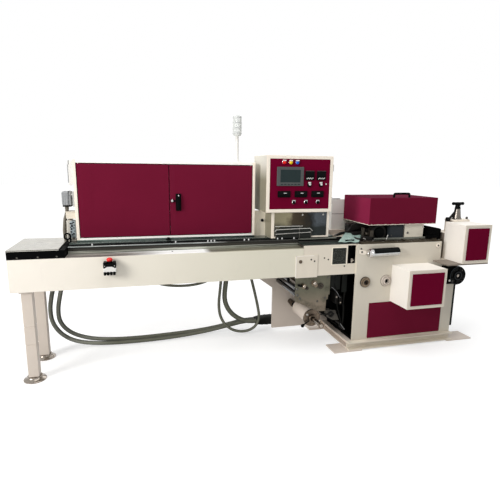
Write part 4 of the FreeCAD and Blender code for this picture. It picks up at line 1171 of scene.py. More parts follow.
def instruments(low, face):
    """Touch screen, controllers with dials, counters, selectors and three pilot lamps"""
    left, bottom = low.x, low.z
    pad = pads(left + 50, face, bottom + 168)
    piece("touch_bezel", "bezel", pad(0, 206, 0, 136, 8, 0, 4, 3), replaces="panel_instruments")
    piece("touch_glass", "screen", pad(26, 180, 26, 116, 8.6, 7, 1))
    piece("touch_keys", "screen", [pad(x, x + 16, 8, 15, 8.8, 7, 1) for x in range(30, 186, 26)])
    cases, windows, marks, dials, knobs, edges = [], [], [], [], [], []
    for number in range(2):
        pad = pads(left + 268 + 91 * number, face, bottom + 209)
        cases.append(pad(0, 72, 0, 68, 9, 0, 4, 3))
        windows.append(pad(7, 65, 32, 60, 9.6, 8, 1.5))
        edges.append(pad(3, 69, 66, 68.3, 9.4, 6, 0.8, 1))
        marks += [pad(x, x + 6, z, z + 8, 10, 8.6, 0.5, 1)
                  for x, z in zip(range(10, 64, 9), (8, 12) * 3)]
        x, z = left + 303 + 91 * number, bottom + 182
        pad = pads(x, face, z)
        dials += [pad(-15, 15, -16, 16, 3),
                  lathe((x, face - 3, z - 8), FRONT, [(0, 15), (6, 14), (6, 0)])]
        knobs.append(lathe((x, face - 3, z - 2), FRONT,
                           [(0, 11), (2, 11.5), (11, 10), (13, 8), (13, 0)]))
        marks += [pad(-11, 11, 5, 15, 8, 2), pad(-1, 1, -4, 6, 17.5, 15.5, 0.4, 1)]
    for number in range(3):
        pad = pads(left + 59 + 131 * number, face, bottom + 86)
        cases.append(pad(0, 98, 0, 46, 9, 0, 4, 3))
        windows.append(pad(8, 90, 18, 40, 9.6, 8, 1.5))
        knobs.append(pad(44, 66, 28, 33, 10, 9, 0.4))
        dials += [pad(x, x + 14, 5, 13, 10, 8.6, 1) for x in range(12, 88, 19)]
    piece("meter_cases", "black_plastic", cases)
    piece("meter_windows", "gloss_black", windows)
    piece("meter_marks", "white_plastic", marks)
    piece("meter_edges", "bezel", edges)
    piece("dial_plates", "black_plastic", dials)
    piece("dial_knobs", "silver", knobs)
    selectors, rings, highlights = [], [], []
    for number in range(3):
        x, z = left + 186 + 95 * number, bottom + 50
        pad = pads(x, face, z)
        rings += [pad(-12, 12, 4, 16, 4), tube((x, face - 4, z), (x, face, z), 14.5, 11.5, 1)]
        selectors += [rod((x, face - 7, z - 2), (x, face, z - 2), 12, 1),
                      pad(-4, 4, -13, 8, 14, 6, 3, 3)]
    piece("selector_knobs", "black_plastic", selectors, replaces="panel_buttons")
    for number, colour in enumerate(("red_lens", "yellow_lens", "blue_lens")):
        x, z = left + 104 + 50 * number, bottom + 338
        rings.append(tube((x, face - 3, z), (x, face, z), 15, 13, 1))
        # White bars over the pilot lamps: painted highlights
        highlights.append(pads(x, face, z)(-12, 12, 6, 15, 15, 1, 3, 3))
        piece("pilot_" + colour, colour,
              lathe((x, face - 2, z - 3), FRONT,
                    [(0, 0), (0, 13.5), (6, 13.5), (9, 11.5), (12, 7), (13, 3), (13, 0)], 8))
    piece("pilot_highlights", "white_plastic", highlights)
    piece("panel_rings", "silver", rings)
    piece("panel_screws", "zinc", bolt((left + 437, face, bottom + 182), FRONT, 4, 3))


# Forming station and film bay
def forming_station():
    """Plate between beam and body with its windows, the hanging plate and the film sheet"""
    high = span("forming_panel")[1]
    wx0, wx1, wz0, wz1 = 2179, 2294, 690, 815
    piece("window_rim", "cream_light", rim(wx0 - 5, wx1 + 5, wz0 - 5, wz1 + 5, 5, -3, 2, 1))
    piece("window_pane", "pane", slab((wx0, 2, wz0), (wx1, 5, wz1), 0.8), replaces="windows")
    ring_x, ring_z = (wx0 + wx1) / 2, (wz0 + wz1) / 2
    # A dark plate behind the pane: painted shade of the window's inside
    piece("window_back", "dark_olive", slab((wx0 - 20, 44, wz0 - 10), (wx1 + 4, 48, wz1 + 10), 1))
    piece("window_ring", "bracket_grey",
          tube((ring_x, 20, ring_z), (ring_x, 44, ring_z), 46, 40, 2, 40))
    piece("window_gear", "dark_cast",
          lathe((ring_x, 44, ring_z), FRONT,
                [(0, 0), (0, 34), (14, 34), (16, 14), (24, 13), (24, 0)], 40))
    piece("window_glint", "silver",
          bent([(ring_x - 40, 18, ring_z + 2), (ring_x - 36, 18, ring_z + 20),
                (ring_x - 22, 18, ring_z + 34)], 3.5, 10))
    # Near-black sheets behind the gap right of the window: painted shade in the gap
    piece("gap_shade_back", "soot", [
        slab((2300, 40, 690), (2376, 44, 868), 1), slab((2300, 30, 690), (2304, 44, 838), 1)])
    piece("gap_bit", "nickel", [
        slab((2340, 12, 694), (2356, 40, 728), 4), rod((2352, 4, 712), (2368, 40, 726), 8, 2)])
    hang_low, hang_high = span("hanging_plate")
    piece("hanging_sheet", "cream", slab(hang_low, hang_high, 2), replaces="hanging_plate")
    front = hang_low.y
    # Light strips along the hanging plate's left and top edges: painted highlight
    piece("hanging_edge_highlight", "cream_white", [
        slab((hang_low.x + 0.5, front - 0.6, hang_low.z + 2),
             (hang_low.x + 7, front + 2, hang_high.z - 0.5), 0.5),
        slab((hang_low.x + 0.5, front - 0.6, hang_high.z - 5),
             (hang_high.x - 30, front + 2, hang_high.z - 0.5), 0.5)])
    piece("hanging_bolt", "rusty_steel", bolt((1924, front, 724), FRONT, 9, 7, False))
    # Near-black discs standing in for holes: painted shade inside them
    piece("station_holes", "soot", [
        [rod((x, front - 0.6, z), (x, front + 2, z), 6.5, 0.4, 14)
         for x, z in ((2007, 737), (2034, 724))],
        [rod((x, -0.6, z), (x, 2, z), 6, 0.4, 14) for x, z in ((2115, 743), (2147, 730))]])
    piece("station_screw", "dark_steel",
          lathe((2282, 0, 673), FRONT, [(0, 6), (1.5, 6), (2.5, 4), (2.5, 0)], 18))
    end = high.x
    piece("station_deck", "dark_green", [
        slab((1950, 6, 840), (end, TABLE_FRONT, 846), 1), slab((2010, 40, 846), (end, 52, 852), 2)])
    piece("station_rail", "lip_steel",
          slab((1950, TABLE_FRONT - 4, 846), (2330, TABLE_FRONT + 4, 855), 1))
    piece("station_block", "soot", slab((1950, TABLE_FRONT + 4, 840), (end - 40, 200, 867), 2))
    corners = [(2230, 16, 857), (2398, 12, 851), (2560, 250, 878), (2412, 250, 890)]
    film = piece("forming_sheet", "film", creased(corners, 16, 3.5))
    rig.sheet(film, flat=(0.17, 0.29), held="draped", rests_on=["station_block"], area=0.039)


def creased(corners, count, fold, thick=1.2):
    """A thin closed sheet between four corners, with folds across it"""
    first, second, third, fourth = (Vector(corner) for corner in corners)

    def spot(row, step):
        down, over = row / count, step / count
        found = first.lerp(fourth, down).lerp(second.lerp(third, down), over)
        wave = math.sin(7 * down + 3 * over) * math.cos(11 * over - 5 * down)
        found.z += fold * (wave + 0.4 * abs(math.sin(19 * down - 8 * over)))
        return found

    def add(mesh):
        upper, lower = ([[mesh.verts.new(spot(row, step) - drop * Vector(UP))
                          for step in range(count + 1)] for row in range(count + 1)]
                        for drop in (0, thick))
        for layer in (upper, lower):
            skin(mesh, layer, wrap=False)
        there, back = range(count), range(count, 0, -1)
        edge = ([(0, step) for step in there] + [(row, count) for row in there]
                + [(count, step) for step in back] + [(row, 0) for row in back])
        for (row, step), (next_row, next_step) in zip(edge, edge[1:] + edge[:1]):
            mesh.faces.new((upper[row][step], upper[next_row][next_step],
                            lower[next_row][next_step], lower[row][step]))
    return add


def film_bay():
    """Roller plate, rollers, glossy rods, the film arbor and the machinery in the dark bay"""
    (x0, y0, z0), (x1, y1, z1) = span("roller_plate")
    outline = [(x0, z1), (x1, z1), (x1, z1 - 158), (x1 - 10, z1 - 160), (x1 - 14, z1 - 196),
               (x1 - 26, z1 - 200), (x1 - 30, z0), (x0 + 190, z0), (x0, z1 - 196)]
    piece("roller_sheet", "raw_steel", prism(outline, y0, y1), replaces="roller_plate")
    piece("roller_sheet_bolts", "dark_steel", [
        bolt((x0 + x, y0, z1 - z), FRONT, wide, 4)
        for x, z, wide in ((264, 23, 6), (40, 175, 7), (244, 183, 6), (182, 207, 6), (120, 60, 4))])
    ends, glint_bosses = [], []
    for x, z, radius in ((1966, 530, 18), (2049, 548, 21)):
        ends.append(lathe((x, y0, z), FRONT,
                          [(0, radius), (6, radius), (7, radius - 4), (16, radius - 5),
                           (17, radius - 9), (17, 0)]))
        # Bright nickel bosses, set a little above and left of each roller end's centre: painted highlights
        glint_bosses.append(lathe((x - 2, y0 - 16, z + 3), FRONT,
                          [(0, 0), (0, radius - 8), (9, radius - 8), (11, radius - 10), (11, 0)]))
    piece("roller_ends", "brown_steel", ends)
    piece("roller_glint_bosses", "nickel", glint_bosses)
    piece("roller_nuts", "dirty_steel", [
        lathe((x, y0, z), FRONT,
              [(0, wide), (5, wide), (6, wide - 3), (9, wide - 4), (10, 8), (16, 7), (16, 0)], 12)
        for x, z, wide in ((2104, 524, 24), (2074, 528, 15), (1992, 512, 14))])
    piece("roller_pin", "black_plastic", [
        rod((1916, y0 - 10, 541), (1956, y0 - 14, 534), 8, 2),
        rod((1934, y0 - 12, 538), (1934, y0, 538), 6, 1)])
    piece("glossy_rods", "rod_black", [
        rod((1918, y1, 462), (1918, 458, 462), 20, 1),
        rod((1914, y1, 512), (1914, 458, 512), 20, 1),
        rod((1880, 120, 560), (1880, 458, 560), 14, 1)])
    piece("rod_caps", "dark_steel", [
        rod((x, y1 - 14, z), (x, y1, z), 11, 2) for x, z in ((1918, 462), (1914, 512))])
    film_arbor()
    bay_inside()


def film_arbor():
    """The arbor that holds the film roll, and the fixed spindle that it turns on"""
    (x0, y0, z0), (x1, _, z1) = span("film_arbor")
    x, z, front = (x0 + x1) / 2, (z0 + z1) / 2, y0
    disc = (x1 - x0) / 2
    tube_r = disc - 10
    piece("arbor_tube", "cream_warm",
          lathe((x, front + 15, z), REAR,
                [(0, 0), (0, tube_r), (253, tube_r), (255, tube_r - 2), (255, 0)], 48),
          body="film_roll_arbor", replaces="film_arbor")
    piece("arbor_disc", "rusty_steel",
          lathe((x, front, z), REAR,
                [(0, 20), (0, disc - 4), (2, disc - 1), (4, disc), (14, disc), (15, disc - 2),
                 (15, 20), (0, 20)], 48), body="film_roll_arbor")
    # The one zinc screw among the brown ones gives the disc its bright spot: painted highlight
    for name, finish, angles in (("screws", "brown_steel", (0.5, 4.7)), ("key", "zinc", (2.5,))):
        piece("arbor_" + name, finish, bolt_circle(x, front, z, 50, angles, 6, 6),
              body="film_roll_arbor")
    piece("arbor_rear", "cream_warm",
          lathe((x, front + 256, z), REAR,
                [(0, tube_r), (0, tube_r + 3), (10, tube_r + 3), (10, tube_r), (0, tube_r)], 48),
          body="film_roll_arbor")
    knob = (x - 48, z + 27)
    piece("rear_roller", "rusty_steel",
          lathe((knob[0], 378, knob[1]), REAR,
                [(3, 14), (0, 17), (0, 25), (3, 27), (14, 27), (17, 22), (82, 22), (82, 14),
                 (3, 14)], 36))
    piece("rear_roller_core", "dark_cast",
          rod((knob[0], 382, knob[1]), (knob[0], 460, knob[1]), 13.8, 1))
    piece("arbor_clamp", "rusty_steel", tube((x, front - 24, z), (x, front, z), 32, 18, 2),
          body="film_roll_arbor")
    piece("arbor_lever", "black_plastic", [
        rod((x - 26, front - 13, z - 14), (x - 80, front - 15, z - 48), 5, 1),
        lathe((x - 84, front - 16, z - 51), (1, 0.04, 0.65),
              [(-14, 0), (-13, 6), (-8, 12), (0, 14), (8, 12), (14, 7), (18, 5), (18, 0)])],
          body="film_roll_arbor")
    tip = span("film_shafts")[0].y
    piece("spindle_sleeve", "nickel",
          lathe((x, tip - 20, z), REAR,
                [(0, 0), (0, 11), (3, 14.2), (40, 14.2), (40, 16.5), (140, 16.5), (142, 14.2),
                 (142, 0)], 32))
    piece("spindle_ring", "rusty_steel", [
        tube((x, tip - 16, z), (x, tip - 2, z), 20, 13.5, 1.5),
        tube((x, tip + 96, z), (x, tip + 116, z), 18.8, 15.5, 1.5)])


def bay_inside():
    """The drive's case, set back in the bay, with plates, a bracket and cables before it; the case, tray, plates,
    bracket and stays take near-black finishes as painted shade of the dark bay
    """
    (x0, y0, z0), (x1, y1, z1) = span("drive_block")
    face, step = y0 + 150, x0 + 250
    channel = span("base_ends")[1].z
    outline = [(x0, z1), (x0, 222), (2330, 142), (2377, z0), (step, z0), (step, z1)]
    piece("drive_case", "soot", [
        prism(outline, face, y1, 1, 2), slab((step - 2, y0, z0), (x1, y1, z1), 3)],
          replaces="drive_block")
    piece("bay_tray", "soot", slab((2374, 6, channel), (step + 10, y1, z0 + 2), 1))
    piece("bay_plates", "dark_olive", [
        slab((2226, 96, 468), (2258, 108, 604), 2), slab((2268, 110, 456), (2314, 122, 606), 2),
        slab((2324, 96, 436), (2366, 108, 606), 2),
        slab((2220, 120, 560), (2376, face + 2, 600), 2)])
    piece("bay_bracket", "bracket_grey", [
        prism([(2212, 292), (2284, 286), (2322, 200), (2268, 204), (2212, 236)], 112, 120, 1, 1.5),
        slab((2222, 118, 240), (2260, face + 2, 282), 2)])
    piece("bay_knob", "dark_cast", [
        tube((2242, 96, 257), (2242, 112, 257), 24, 11, 3, 28),
        rod((2158, 114, 259), (2224, 114, 257), 5, 1),
        rod((2262, 104, 256), (2330, face + 4, 250), 7, 1)])
    piece("bay_cables", "rubber", [
        bent([(2240, 120, 600), (2252, 110, 520), (2300, 116, 430), (2296, 120, 330),
              (2330, 130, 240), (2366, 140, 130)], 6, 10),
        bent([(2350, 130, 640), (2344, 112, 560), (2370, 116, 470), (2352, 120, 360),
              (2372, 130, 260), (2368, 140, 130)], 8, 10)])
    piece("bay_wire", "grey_plastic", [
        bent([(2232, 94, 486), (2262, 90, 462), (2290, 90, 428), (2300, 92, 402), (2318, 100, 392)],
             1.8, 8), rod((2324, 92, 176), (2364, 92, 124), 2.5, 0.5, 8)])
    piece("bay_glints", "nickel", [
        bolt((2288, 110, 396), FRONT, 5, 4), bolt((2322, 104, 350), FRONT, 5, 4)])
    piece("bay_stays", "dark_cast", [
        slab((2276, 110, 340), (2300, face + 2, 440), 2),
        slab((2312, 104, 330), (2334, face + 2, 400), 2),
        slab((2316, 94, 166), (2330, face + 2, 184), 2),
        slab((2356, 94, 116), (2372, face + 2, 134), 2)])


# Body
FOUR_ROUND = (0.8, 2.37, 3.93, 5.5)


def body_front():
    """Front plate with its flanges, the feed cylinder, bolts and the red panel"""
    (x0, y0, z0), (x1, y1, z1) = span("body_plate")
    step_x, step_z = x0 + 746, 688
    outline = [(x0, z0), (x1, z0), (x1, step_z), (step_x, step_z), (step_x, z1), (x0, z1)]
    piece("front_sheet", "cream_body", prism(outline, y0, y1, 1, 2), replaces="body_plate")
    piece("end_strip", "black_paint", slab((x1 - 2, y0 + 1, 117), (x1 + 21, y1, 479), 2))
    fx, gx, fz = 2456, 2638, 543
    # Dark rings round the flanges' and the boss's edges and round the bores: painted shade
    piece("flange_shade_rings", "brown_shade", [
        rod((fx, y0 - 1.5, fz), (fx, y0, fz), 42.5, 0.5, 40),
        rod((gx, y0 - 1.5, fz), (gx, y0, fz), 46.5, 0.5, 40),
        tube((gx, y0 - 12.4, fz), (gx, y0 - 8, fz), 34.4, 31.5, 0.5, 40),
        rod((3087, y0 - 1.2, 807), (3087, y0, 807), 20.5, 0.4, 30)])
    piece("flange_shade_lines", "dark_cast", [
        tube((fx, y0 - 11, fz), (fx, y0 - 2, fz), 41.5, 39, 0.8, 40),
        tube((fx, y0 - 23, fz), (fx, y0 - 6, fz), 20, 13.4, 1, 32),
        tube((gx, y0 - 18.6, fz), (gx, y0 - 14, fz), 19, 15.6, 0.8, 32)])
    piece("flange_brown", "brown_steel", [
        lathe((fx, y0, fz), FRONT,
              [(0, 40), (10, 40), (13, 37), (14, 30), (22, 29), (22, 13), (6, 13), (6, 0)], 40),
        bolt_circle(fx, y0 - 12, fz, 34, FOUR_ROUND, 3, 3)], replaces="shaft_flanges")
    # Black key slot in the flange's bore: painted shade
    piece("flange_key", "black_paint",
          slab((fx - 9, y0 - 8, fz - 9), (fx + 9, y0 - 5.5, fz + 9), 2))
    piece("flange_pale", "cream_leg",
          lathe((gx, y0, fz), FRONT,
                [(0, 43), (8, 43), (11, 41), (12, 34), (9, 33), (9, 31), (16, 30), (18, 28),
                 (18, 15), (4, 15), (4, 0)], 44))
    # Black disc in the pale flange's bore: painted shade
    piece("flange_hole", "black_paint", rod((gx, y0 - 6, fz), (gx, y0 - 4, fz), 14.5, 0.2))
    feed_cylinder(y0)
    piece("front_bolts", "dark_steel", [
        bolt((3087, y0 - 6, 807), FRONT, 5, 5, False), bolt((2408, y0, 804), FRONT, 5, 4),
        bolt((2413, y0 - 5, 780), FRONT, 5, 4)])
    piece("front_boss", "cream_bright", [
        rod((3087, y0 - 6, 807), (3087, y0, 807), 19, 1.5),
        prism([(2394, 770), (2394, 792), (2408, 798), (2446, 786), (2458, 768), (2440, 758),
               (2410, 760)], y0 - 5, y0, 1, 1.2)])
    red_x0, red_x1 = 2505, 3174
    piece("red_panel_face", "crimson",
          slab((red_x0 + 0.3, y0 - 4.5, z0 + 10.3), (red_x1 - 0.3, y0 - 3, z0 + 298.7), 0.4))
    piece("red_panel_trim", "cream", slab((red_x0 - 6, y0 - 3, 78), (red_x1 + 6, y0, 84), 1))


def feed_cylinder(face):
    """Short bright cylinder on two lugs under a black half cover"""
    start, end = Vector((2450, face - 34, 775)), Vector((2703, face - 34, 779))
    ahead = (end - start).normalized()
    piece("cylinder_barrel", "barrel_steel", rod(start + ahead * 20, end - ahead * 2, 32, 2, 40),
          replaces="feed_cylinder")
    piece("cylinder_cover", "gloss_black", half_shell(start + ahead * 36, end, 34))
    piece("cylinder_block", "chrome", [
        lathe(start - ahead * 4, ahead, [(0, 0), (0, 26), (4, 32), (36, 33), (40, 30), (40, 0)], 8),
        rod(start - ahead * 8, start, 9, 2)])
    piece("cylinder_lugs", "cream", [
        slab((2462, face - 30, 746), (2484, face, 780), 3),
        slab((2670, face - 30, 750), (2692, face, 790), 3)])


def half_shell(start, end, radius):
    """The upper half of a round cover over a bar"""
    def add(mesh):
        ahead = (end - start).normalized()
        side, over = Vector(FRONT), Vector(UP) - ahead * ahead.z
        over.normalize()
        angles = [math.radians(2 + step * 176 / 18) for step in range(19)]
        outer_a, inner_a, outer_b, inner_b = rings = [
            [mesh.verts.new(spot + reach * (side * math.cos(turn) + over * math.sin(turn)))
             for turn in angles] for spot in (start, end) for reach in (radius, radius - 2)]
        for near, far in ((0, 2), (3, 1), (1, 0), (2, 3)):
            skin(mesh, (rings[near], rings[far]), wrap=False)
        for step in (0, -1):
            mesh.faces.new((outer_a[step], outer_b[step], inner_b[step], inner_a[step]))
    return add


def guards():
    """Guard boxes with frames round their red panels, the rear housing, and the side housing with the column behind
    the upper one
    """
    boxes = {"low": (2684, 3008, -242, -15, 376, 671), "high": (3182, 3424, -187, 37, 688, 986)}
    shells, bars = [], []
    for x0, x1, y0, y1, z0, z1 in boxes.values():
        shells.append(slab((x0, y0 + 1, z0), (x1, y1, z1), 3))
        bars.append(rim(x0 - 0.3, x1, z0 - 0.3, z1 + 0.3, 21, y0, y0 + 4, 1.2))
    piece("guard_shells", "cream_white", shells, replaces="guard_boxes")
    piece("guard_frames", "cream", bars)
    low, high = span("housings")
    side, front, depth, step, top = 3190, 37, 163, 896, 986
    piece("rear_housing", "cream_pale", slab((low.x, 480, 837), (low.x + 720, high.y, high.z), 2),
          replaces="housings")
    piece("side_housing", "cream", [
        slab((side, front, low.z), (high.x, front + depth, step), 2),
        slab((side + 78, front, step - 4), (high.x, front + depth - 50, top), 2)])
    piece("side_housing_shade", "brown_shade",
          slab((side - 0.8, front + 2, low.z + 2), (side + 1, front + depth - 2, step - 3), 0.5))
    piece("housing_seam", "dark_steel", slab((2392, 478.6, 1014), (3108, 480.4, 1017), 0))
    piece("housing_hinge", "dark_steel", slab((2396, 484, 1140), (2470, 520, 1146), 2))


def hand_wheel():
    """Height screw: base plate, bright cone between dark ribs, black T knob and its clamp arm"""
    (x0, y0, z0), (x1, y1, z1) = span("hand_column")
    knob_low, knob_high = span("hand_knob")
    x, y = (knob_low.x + knob_high.x) / 2, 85
    foot, top = z0, z1
    seat, neck = foot + 15, top - 24
    piece("column_foot", "cream_bright", slab((x0, y0, foot), (x1, y1, seat), 3),
          replaces="hand_column")
    piece("column_bolts", "dark_steel", [
        [bolt((bx, by, seat), UP, 6, 6) for bx in (x0 + 14, x1 - 14) for by in (y0 + 14, y1 - 14)],
        rod((x1 - 12, y - 20, seat), (x1 - 12, y - 20, seat + 20), 9, 3, 16)])
    piece("column_cone", "cone_steel",
          tube_profile((x, y, seat),
                       [(0, 38), (5, 38), (8, 34), (neck - seat - 12, 20), (neck - seat, 20)], 6.2))
    piece("column_collar", "black_plastic",
          tube_profile((x, y, neck), [(0, 22), (3, 23), (18, 20), (24, 19)], 6.2))
    ribs = [[(x + side * 38, seat), (x + side * 27, seat), (x + side * 15, neck),
             (x + side * 22, neck)] for side in (-1, 1)]
    piece("column_ribs", "dark_cast", [
        prism(outline[::side], y - 9, y + 9, 1, 1.5) for outline, side in zip(ribs, (1, -1))])
    piece("column_arm", "dark_cast",
          prism([(x - 84, seat), (x - 62, seat), (x - 18, foot + 74), (x - 24, foot + 82)], y - 7,
                y + 7, 1, 1.5))
    piece("column_block", "black_paint", slab((3214, 58, foot), (3243, 82, foot + 33), 3))
    grip = knob_high.z - 13
    piece("hand_grip", "black_plastic", [
        rod((knob_low.x, y, grip), (knob_high.x, y, grip), 11.5, 5, 20),
        [lathe((end, y, grip), (turn, 0, 0), [(0, 0), (0, 12.6), (12, 12.8), (16, 10), (16, 0)], 20)
         for end, turn in ((knob_low.x + 16, -1), (knob_high.x - 16, 1))],
        lathe((x, y, top + 2), UP,
              [(0, 0), (0, 19), (4, 21), (14, 27), (20, 26), (27, 15), (30, 0)])],
          body="hand_wheel", replaces="hand_knob")
    piece("hand_stem", "zinc", rod((x, y, knob_low.z + 1), (x, y, top + 4), 5.8, 0.5),
          body="hand_wheel")


def tube_profile(at, profile, bore):
    """A turned sleeve with a bore all through"""
    reach = profile[-1][0]
    ring = [(0, bore)] + profile + [(reach, bore), (0, bore)]
    return lathe(at, UP, ring, 36)


def outfeed_motor():
    """Black motor on the front plate's edge: bracket, finned case, ribbed end bell and its hub"""
    (x0, y0, z0), (x1, y1, z1) = span("outfeed_motor")
    radius = (z1 - z0) / 2
    x, z, front, seat = x1 - radius, (z0 + z1) / 2, y0, y1
    fins = [tube((x, front + 26 + 12 * step, z), (x, front + 31 + 12 * step, z), radius, radius - 8,
                 1, 44) for step in range(6)]
    piece("motor_case", "soot", [
        fins, rod((x, front + 14, z), (x, seat, z), radius - 6, 3, 44),
        slab((x0, front + 15, z - 69), (x - 20, seat, z + 69), 7, 3),
        slab((x0 + 10, front + 9, z - 50), (x - 60, front + 18, z + 50), 4, 3)],
          replaces="outfeed_motor")
    piece("motor_bell", "gloss_black",
          lathe((x, front + 22, z), FRONT,
                [(0, 0), (0, radius - 1), (8, radius), (14, radius - 4), (16, radius - 10),
                 (10, radius - 14), (10, 40), (18, 36), (20, 30), (14, 26), (14, 0)], 44))
    angles = [turn + 0.3 for turn in turns(6)]
    piece("motor_spokes", "black_plastic", [
        rod((x + 40 * math.cos(turn), front + 9, z + 40 * math.sin(turn)),
            (x + (radius - 10) * math.cos(turn), front + 9, z + (radius - 10) * math.sin(turn)),
            4.5, 1, 10) for turn in angles])
    # The slate rings on the black bell and the nickel hub stand in for the bell's ring highlights and glint: painted
    # highlights
    piece("motor_highlight_rings", "slate", [
        tube((x, front + 5, z), (x, front + 12, z), radius - 3, radius - 7, 1, 44),
        tube((x, front + 0.5, z), (x, front + 6, z), 33, 29, 1, 36)])
    piece("motor_hub", "nickel",
          lathe((x, front + 8, z), FRONT, [(0, 0), (0, 12), (4, 11), (7, 6), (7, 0)], 24))
    piece("motor_bolts", "dark_steel", bolt_circle(x, front + 10, z, 60, FOUR_ROUND, 4, 4))
    piece("motor_glints", "zinc", bolt((x0 + 18, front + 9, z - 36), FRONT, 6, 4))


# Hood and sealing station
def hood():
    """Crimson hood with a folded shell, a raw lower edge and its handle"""
    (x0, y0, z0), (x1, y1, z1) = span("hood")
    wall = 3
    piece("hood_shell", "crimson", [
        slab((x0, y0, z0), (x1, y0 + wall, z1 - 0.5), 1.2),
        slab((x1 - wall, y0 + 1, z0), (x1, y1 - 1, z1 - 1), 1),
        slab((x0, y1 - wall, z0), (x1, y1, z1 - 1), 1)], body="hood_cover", replaces="hood")
    piece("hood_side", "crimson_side", slab((x0, y0 + 1, z0), (x0 + wall, y1 - 1, z1 - 1), 1),
          body="hood_cover")
    piece("hood_top", "crimson_top", slab((x0, y0 + 0.5, z1 - wall), (x1, y1, z1), 1.2),
          body="hood_cover")
    piece("hood_raw_edge", "cream", [
        rough_strip((x0 - 0.5, y0 - 0.8, z0), (x1 + 0.5, y0 + 4, z0), 0),
        rough_strip((x0 - 0.8, y0, z0), (x0 + 3, y1, z0), 1)], body="hood_cover")
    grip_low, grip_high = span("hood_handle")
    gx0, gx1, gy, gz = grip_low.x, grip_high.x, (grip_low.y + grip_high.y) / 2, grip_high.z
    half = [(7, z1), (7, z1 + 12), (9, gz - 4), (24, gz - 3)]
    path = [(gx0 + x, gy, z) for x, z in half] + [(gx1 - x, gy, z) for x, z in half[::-1]]
    piece("hood_grip", "black_plastic", [
        bent(path, 8.6, 16),
        [lathe((gx, gy, z1), UP, [(0, 0), (0, 7), (2, 7), (6, 6.8), (6, 0)])
         for gx in (gx0 + 7, gx1 - 7)]], body="hood_cover", replaces="hood_handle")


def rough_strip(low, high, axis):
    """A thin uneven strip of bare primer along a cut edge"""
    def add(mesh):
        length = high[axis] - low[axis]
        count = int(length / 14)
        for step in range(count):
            near = low[axis] + length * step / count
            far = low[axis] + length * (step + 1) / count
            tall = 4 + 3.5 * abs(math.sin(step * 1.7) * math.cos(step * 0.63))
            corner, other = list(low), list(high)
            corner[axis], other[axis] = near, far + 0.5
            other[2] = low[2] + tall
            slab(corner, other, 0.8, 1)(mesh)
    return add


